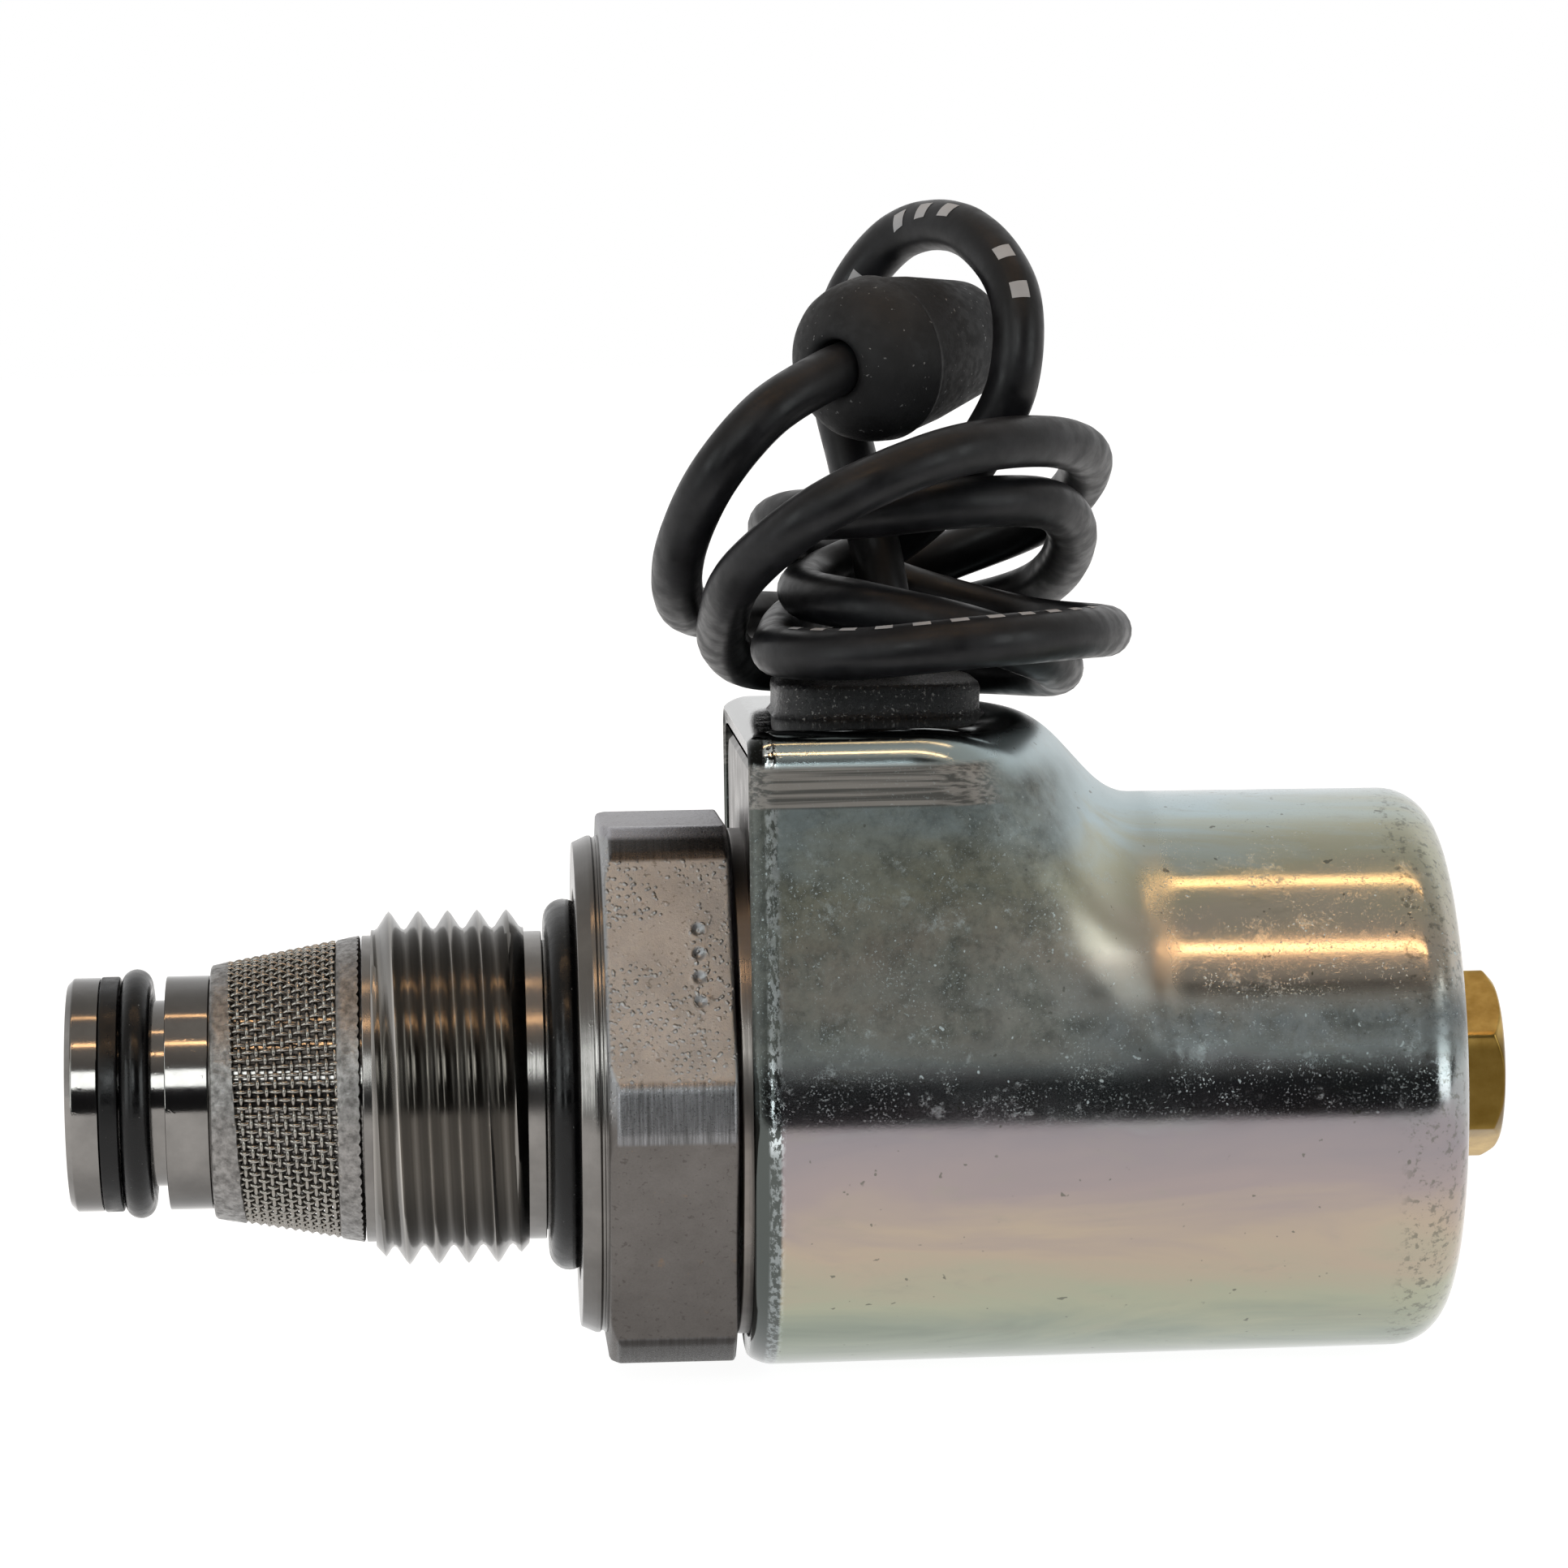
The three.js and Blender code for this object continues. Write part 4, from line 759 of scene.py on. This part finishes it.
def boss_outline(half_width, top, edge, belly=110, flank=14, corner=14, crown=16):
    """The boss's section in (y, z): a half round below, flat flanks, rounded edges and a flat top."""
    angle = np.linspace(pi, 2 * pi, belly, endpoint=False)
    round_part = np.stack([half_width * np.cos(angle), half_width * np.sin(angle)], 1)
    heights = np.linspace(0, top - edge, flank, endpoint=False)
    flank_part = np.stack([np.full(flank, half_width), heights], 1)
    angle = np.linspace(0, pi / 2, corner, endpoint=False)
    corner_part = np.stack([half_width - edge + edge * np.cos(angle), top - edge + edge * np.sin(angle)], 1)
    across = np.linspace(half_width - edge, 0, crown)
    crown_part = np.stack([across, np.full(crown, top)], 1)
    half = np.concatenate([flank_part, corner_part, crown_part])
    mirrored = half[1:-1][::-1] * (-1, 1)
    return np.concatenate([round_part, half, mirrored])


def can_section(x, inset):
    """The can's section at X, set in from its outer skin: the boss, ended by its face, on the round can."""
    radius = CAN_OPEN + (x - CAN_START) * (CAN_CLOSED - CAN_OPEN) / (CAN_END - CAN_START) - inset
    outline = boss_outline(radius, BOSS_TOP - inset, BOSS_EDGE - inset * 0.9)
    reach = np.linalg.norm(outline, axis=1)
    across, up = (outline / reach[:, None]).T
    # the end face leans back over the can and is rounded in plan
    room = max(BOSS_END + BOSS_LEAN * BOSS_TOP - x - inset * math.hypot(1, BOSS_LEAN), 0)
    fall, curve = BOSS_LEAN * np.clip(up, 0, 1), BOSS_ROUND * (across / radius) ** 2
    face = 2 * room / (fall + np.sqrt(fall ** 2 + 4 * curve * room) + 1e-9)
    proud = np.clip(reach - radius, 1e-6, None)
    boss = soft_min(reach, face, np.minimum(BOSS_ROLL, 2 * proud))
    scale = -soft_min(-boss, -radius, np.minimum(BOSS_FILLET, proud)) / reach
    points = outline * scale[:, None]
    return at_x(x, points)


def make_can(skin):
    stations = np.concatenate([
        np.linspace(CAN_START, 11.0, 12)[1:], np.arange(11.3, CAN_END - CAN_EDGE, 0.3)])
    roll_length, roll_depth = 1.4, 0.5

    def lip(x):
        """How far the open rim is rolled in."""
        return roll_depth * max(0.0, 1 - (x - CAN_START) / roll_length) ** 2

    rim = ((0.12, 0.78), (0.0, 0.64), (0.02, 0.54))
    rows = [can_section(CAN_START + x, inset) for x, inset in rim]
    rows += [can_section(x, lip(x)) for x in stations]
    for angle in np.linspace(0, pi / 2, 14):
        x = CAN_END - CAN_EDGE + CAN_EDGE * sin(angle)
        section = can_section(CAN_END - CAN_EDGE, 0)
        scale = (CAN_CLOSED - CAN_EDGE + CAN_EDGE * cos(angle)) / CAN_CLOSED
        rows.append(section * (0, scale, scale) + (x, 0, 0))
    hole = STUD_RADIUS + 0.25
    end_face = ((0, 8.0), (0, hole + 0.1), (0.1, hole), (CAN_WALL, hole))
    for x, radius in ((CAN_END - depth, radius) for depth, radius in end_face):
        section = can_section(CAN_END - CAN_EDGE, 0)
        section[:, 1:] *= radius / np.linalg.norm(section[:, 1:], axis=1)[:, None]
        rows.append(section * (0, 1, 1) + (x, 0, 0))
    for x in (CAN_END - CAN_WALL - 0.01, *np.arange(CAN_END - CAN_EDGE, CAN_START, -1.2)):
        rows.append(can_section(x, CAN_WALL))
    rows.append(can_section(CAN_START + 0.25, CAN_WALL))
    rows.append(can_section(CAN_START + 0.12, CAN_WALL - 0.15))
    piece("can", *grid(rows), skin, "zinc_plate", "coil", ["coil_can"], sharp=50)


def make_plate(steel):
    """The boss-shaped slab in the can's mouth and the disc that stands out of it."""
    hole = TUBE_RADIUS + 0.1
    rows = []
    for x, inset in ((PLATE_START, 0.25), (PLATE_START + 0.25, 0), (PLATE_END - 0.1, 0), (PLATE_END, 0.1)):
        outline = boss_outline(PLATE_HALF - inset, PLATE_TOP - inset, BOSS_EDGE)
        rows.append(at_x(x, outline))
    for x in (PLATE_END, PLATE_START):
        bore = outline / np.linalg.norm(outline, axis=1)[:, None] * hole
        rows.append(at_x(x, bore))
    disc_end = PLATE_END - 0.2
    disc = turned([(DISC_START, hole), (DISC_START, PLATE_HALF), (disc_end, PLATE_HALF), (disc_end, hole)],
                  200, 0.12)
    piece("plate", *joined(grid(rows), disc), steel, "machined_steel", "coil", ["flux_plate"], sharp=40)


def rounded_rectangle(x0, x1, half, corner, steps=10):
    points = []
    for centre_x, centre_y, start in ((x1 - corner, half - corner, 0), (x0 + corner, half - corner, 1),
                                      (x0 + corner, -half + corner, 2), (x1 - corner, -half + corner, 3)):
        for angle in (start + np.linspace(0, 1, steps)) * pi / 2:
            points.append((centre_x + corner * cos(angle), centre_y + corner * sin(angle)))
    return np.array(points)


def make_grommet(compound):
    """A potted block that flares at its foot and has a meniscus round the lead."""
    rng = np.random.default_rng(5)
    # each level is a height over the boss and how far the block grows there
    levels = [(-0.35, -0.6), (0.0, 0.25), (0.12, 0.12), (0.3, 0.0), (0.9, -0.02), (1.4, 0.0), (1.68, -0.08),
              (1.8, -0.4)]
    rows = []
    for height, grow in levels:
        outline = rounded_rectangle(GROMMET_START - grow, GROMMET_END + grow, GROMMET_HALF + grow,
                                    GROMMET_CORNER + grow)
        outline = outline + rng.normal(0, 0.025, outline.shape)
        rows.append(at_height(height, outline))
    centre = np.array(LEAD_ROUTE[0][:2])
    top = rows[-1][:, :2] - centre
    for share, height in ((0.8, 1.86), (0.6, 1.92), (0.42, 2.05), (0.3, 2.35)):
        rows.append(at_height(height, centre + top * share))
    around = top / np.linalg.norm(top, axis=1)[:, None] * (LEAD_DIAMETER / 2 + 0.03)
    for height in (2.9, 1.0):
        rows.append(at_height(height, centre + around))
    piece("grommet", *grid(rows), compound, "epoxy", "coil", ["lead_grommet"], sharp=60)


def make_nut(metal, steel, washer_steel):
    nut = hexagon(NUT_START, NUT_END, NUT_FLATS / 2, NUT_FLATS / math.sqrt(3), NUT_TURN, (0.0, 0.75), 360)
    verts = nut[0]
    inner = np.linalg.norm(verts[:, 1:], axis=1) > TUBE_RADIUS
    verts[inner, 1:] *= (STUD_RADIUS + 0.08) / np.linalg.norm(verts[inner, 1:], axis=1)[:, None]
    piece("nut", verts, nut[1], metal, "brass", "nut", ["coil_nut"], sharp=40)
    washer = turned([
        (WASHER_START, WASHER_BORE), (WASHER_START, WASHER_RADIUS), (WASHER_END, WASHER_RADIUS),
        (WASHER_END, WASHER_BORE)], 96, 0.08)
    piece("washer", *washer, washer_steel, "spring_steel", "nut_carrier", ["nut_washer"])
    root = STUD_RADIUS - STUD_DEPTH
    pole = turned([
        (POLE_START, 0), (POLE_START, POLE_RADIUS), (TUBE_END, POLE_RADIUS), (TUBE_END, root),
        (STUD_END - 0.3, root), (STUD_END, STUD_RADIUS - 0.7), (STUD_END, 0)], 96, 0.05)
    stud = helical_thread(
        TUBE_END + 0.6, STUD_END - 0.1, STUD_RADIUS, root, STUD_PITCH, 0.4, sides=96, steps=6)
    piece("pole", *joined(pole, stud), steel, "machined_steel", "valve", ["pole_piece"], sharp=50)


# ---- The lead -----------------------------------------------------------------------------------


def make_lead(jacket):
    in_boot = np.array(BOOT_NEAR) + LEAD_TAIL * np.array(BOOT_DIRECTION)
    path = catmull([*LEAD_ROUTE, in_boot], 14) * MM
    data = bpy.data.curves.new("lead", "CURVE")
    data.dimensions = "3D"
    data.bevel_depth = LEAD_DIAMETER / 2 * MM
    data.bevel_resolution = 9
    data.use_fill_caps = True
    spline = data.splines.new("POLY")
    spline.points.add(len(path) - 1)
    for point, place in zip(spline.points, path):
        point.co = (*place, 1)
    spline.use_smooth = True
    data.materials.append(jacket)
    lead = bpy.data.objects.new("lead", data)
    bpy.context.scene.collection.objects.link(lead)
    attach(lead, "coil")
    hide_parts("lead_wire")
    return lead


def along_boot(verts):
    """Move a piece turned about X onto the boot's own axis."""
    turn = Vector((1, 0, 0)).rotation_difference(Vector(BOOT_DIRECTION).normalized()).to_matrix()
    return np.asarray(verts) @ np.array(turn).T + np.array(BOOT_NEAR)


def make_boot(rubber, metal):
    profile = [
        (0.75, 1.48), (0.5, 1.62), (0.42, 1.95), (0.52, 2.35), (0.75, 2.85), (1.08, 3.35), (1.5, 3.78),
        (2.0, 4.08), (2.6, 4.27), (3.2, 4.37), (3.85, 4.43), (4.0, 4.45), (4.08, 4.41), (4.16, 4.33),
        (4.4, 4.3), (7.0, 3.98), (10.8, 3.28), (11.3, 3.17), (11.5, 3.0), (11.5, 2.45), (11.4, 2.3),
        (6.5, 2.3), (6.5, 1.48),
    ]
    verts, faces = turned(profile, 128)
    boot = piece("boot", along_boot(verts), faces, rubber, "boot_rubber", "coil", ["connector_boot"], 50)
    verts, faces = turned([
        (2.5, 0), (2.5, 1.2), (6.7, 1.2), (6.7, 1.9), (8.4, 1.9), (8.5, 1.72), (8.9, 1.72), (9.0, 1.9),
        (10.6, 1.9), (11.1, 1.5), (11.3, 1.2), (11.3, 0)], 64, 0.06)
    terminal = piece("terminal", along_boot(verts), faces, metal, "brass", "coil", ["bullet_terminal"])
    return boot, terminal


def make_marks(ink):
    """Generic dashes in place of the print: short printed bars on two stretches of the lead."""
    path = catmull(LEAD_ROUTE, 14)
    place = np.concatenate([[0], np.cumsum(np.linalg.norm(np.diff(path, axis=0), axis=1))])
    tangents = np.gradient(path, axis=0)
    tangents /= np.linalg.norm(tangents, axis=1)[:, None]
    radius = LEAD_DIAMETER / 2 + 0.012
    parts = []

    def dash(start, length, facing, width):
        rows = []
        for s in np.linspace(start, start + length, 5):
            centre = np.array([np.interp(s, place, path[:, i]) for i in range(3)])
            tangent = np.array([np.interp(s, place, tangents[:, i]) for i in range(3)])
            tangent /= np.linalg.norm(tangent)
            out = facing - tangent * (facing @ tangent)
            out /= np.linalg.norm(out)
            side = np.cross(tangent, out)
            spread = np.linspace(-width, width, 6)
            rows.append([centre + radius * (out * cos(a) + side * sin(a)) for a in spread])
        parts.append(grid(rows, wrap_rows=False, wrap_columns=False))

    for start in (23.0, 27.8, 29.6, 31.4, 36.4, 38.6):
        dash(start, 0.8, np.array((0.1, -0.9, 0.3)), 0.36)
    for i in range(11):
        dash(205.5 + i * 1.9, 0.9, np.array((0.0, -0.3, 0.95)), 0.16)
    return piece("lead_marks", *joined(*parts), ink, "lead_jacket", "coil")


# ---- Stage --------------------------------------------------------------------------------------


def glow(name, color, strength, diffuse=0.0):
    finish = Finish(name, (diffuse,) * 3, roughness=0.9)
    finish.shader.inputs["Specular IOR Level"].default_value = 0.0
    finish.shader.inputs["Emission Color"].default_value = (*color, 1)
    finish.shader.inputs["Emission Strength"].default_value = strength
    return finish.material


def stage_plane(name, corners, material, camera=True, glossy=True, diffuse=True):
    mesh = bpy.data.meshes.new(name)
    mesh.from_pydata([Vector(c) * MM for c in corners], [], [(0, 1, 2, 3)])
    mesh.materials.append(material)
    plane = bpy.data.objects.new(name, mesh)
    bpy.context.scene.collection.objects.link(plane)
    plane.visible_camera, plane.visible_glossy, plane.visible_diffuse = camera, glossy, diffuse
    return plane


def card(name, elevations, sides, color, strength):
    """A card far in front of the object, given by the angles that it covers, in degrees.

    An elevation is measured from straight in front (-Y) up over the object, a side angle towards +X.
    """
    reach = 2000.0
    corners = []
    for elevation, side in ((elevations[0], sides[0]), (elevations[0], sides[1]),
                            (elevations[1], sides[1]), (elevations[1], sides[0])):
        e, s = radians(elevation), radians(side)
        corners.append((reach * math.tan(s), -reach * cos(e), reach * sin(e)))
    stage_plane(name, corners, glow(name, color, strength), camera=False)


def floor_plane(name, x_reach, near, far, height, **visibility):
    corners = [(-x_reach, near, height), (x_reach, near, height), (x_reach, far, height),
               (-x_reach, far, height)]
    stage_plane(name, corners, glow(name, (1, 1, 1), 0.94, diffuse=0.25), **visibility)


def make_world():
    """White to the camera. Round the object: dark in front, a dim warm room above, white behind."""
    world = bpy.data.worlds.new("studio")
    bpy.context.scene.world = world
    world.use_nodes = True
    tree = world.node_tree
    place = add_node(tree, "TexCoord")
    split = add_node(tree, "SeparateXYZ", {0: place.outputs["Generated"]})
    forward = add_node(tree, "Math", {0: split.outputs["Y"], 1: -1}, operation="MULTIPLY")
    angle = add_node(tree, "Math", {0: split.outputs["Z"], 1: forward.outputs[0]}, operation="ARCTAN2")
    share = add_node(tree, "MapRange", {"Value": angle.outputs[0], "From Min": -pi, "From Max": pi})
    # degrees up from straight in front, and the colour there
    stops = [
        (-180, 0.9), (-100, 0.7), (-80, 0.02), (13, (0.02, 0.02, 0.022)), (24, 0.14),
        (31, (0.19, 0.18, 0.17)), (52, (0.40, 0.38, 0.35)), (97, (0.50, 0.48, 0.45)),
        (115, (0.64, 0.63, 0.61)), (135, 0.95), (180, 0.95),
    ]
    ramp = add_node(tree, "ValToRGB", {0: share.outputs[0]})
    set_stops(ramp, [((degrees + 180) / 360, color) for degrees, color in stops])
    seen = add_node(tree, "LightPath").outputs["Is Camera Ray"]
    white = (1, 1, 1, 1)
    choose = add_node(tree, "Mix", {"Factor": seen, 6: ramp.outputs[0], 7: white}, data_type="RGBA")
    tree.links.new(choose.outputs[2], tree.nodes["Background"].inputs["Color"])


def make_stage():
    floor_plane("floor", 900, -79, 900, FLOOR)
    floor_plane("floor_beyond", 3000, -3000, 3000, FLOOR - 0.5, glossy=False, diffuse=False)
    orange, white = (1.0, 0.60, 0.30), (0.95, 1.0, 1.0)
    card("white_card", (13.5, 30), (-14, 1.9), white, 5.0)
    card("rim_card", (-8, 60), (-23, -17), white, 3.5)
    card("low_lamp", (56, 58.2), (-25, 30), orange, 12.0)
    card("high_lamp", (88, 90), (-25, 30), orange, 9.0)
    card("dark_screen", (8, 42), (5.5, 32), (0, 0, 0), 0.0)
    for name, x in (("right_card", 900), ("left_card", -900)):
        side = [(x, -900, -100), (x, -300, -100), (x, -300, 500), (x, -900, 500)]
        stage_plane(name, side, glow(name, white, 3.0), camera=False)


# ---- Put together -------------------------------------------------------------------------------


def dress_cad(nodes):
    """Materials for the CAD pieces that stay."""
    ground = turned_steel("inner_steel", (0.5, 0.48, 0.46), 0.24, THREAD_RADIUS)
    spring = wire_metal("spring_wire", (0.45, 0.44, 0.42), 0.3, 1.5)
    copper = wire_metal("copper_wire", (0.62, 0.24, 0.11), 0.35, 1.2)
    nylon = moulded("nylon", (0.02, 0.022, 0.026), 0.5)
    tape = moulded("tape", (0.02, 0.02, 0.022), 0.45)
    by_node = {
        "seat_insert": ground, "core_tube": ground, "main_poppet": ground, "plunger": ground,
        "pilot_pin": ground, "plunger_spring": spring, "tube_clip": spring, "winding": copper,
        "lead_splice": copper, "bobbin": nylon, "winding_tape": tape, "lead_potting": epoxy(),
        "tube_o_ring": seal_rubber("inner_seal"),
    }
    for name, material in by_node.items():
        for place in nodes[name].material_slots:
            place.material = material


make_camera()
lead = make_lead(lead_jacket())
yellow_metal = brass()
boot, terminal = make_boot(boot_rubber(), yellow_metal)
marks = make_marks(moulded("ink", (0.28, 0.28, 0.29), 0.6))

body_steel = turned_steel("body_steel", (0.21, 0.20, 0.19), 0.2, SEAT_RADIUS)
thread_steel = turned_steel(
    "thread_steel", (0.27, 0.255, 0.235), 0.18, THREAD_RADIUS, lines=0.03, crest=True)
make_body(body_steel, thread_steel, blasted_steel())
nose_steel = turned_steel("nose_steel", (0.23, 0.22, 0.21), 0.1, NOSE_LAND, lines=0.06)
make_nose(nose_steel, seal_rubber("seal"), seal_rubber("backup", 0.3))
make_screen(wire_metal("screen_wire", (0.35, 0.33, 0.30), 0.18, 1.5), rough_band())
make_can(zinc())
make_plate(turned_steel("plate_steel", (0.22, 0.2, 0.185), 0.3, PLATE_HALF))
make_grommet(epoxy())
make_nut(yellow_metal, body_steel, wire_metal("washer_steel", (0.5, 0.5, 0.48), 0.3, 1.0))
dress_cad(frame["nodes"])
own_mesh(frame["nodes"]["plunger_spring"])
make_stage()
make_world()
bpy.context.scene.view_settings.view_transform = "Standard"
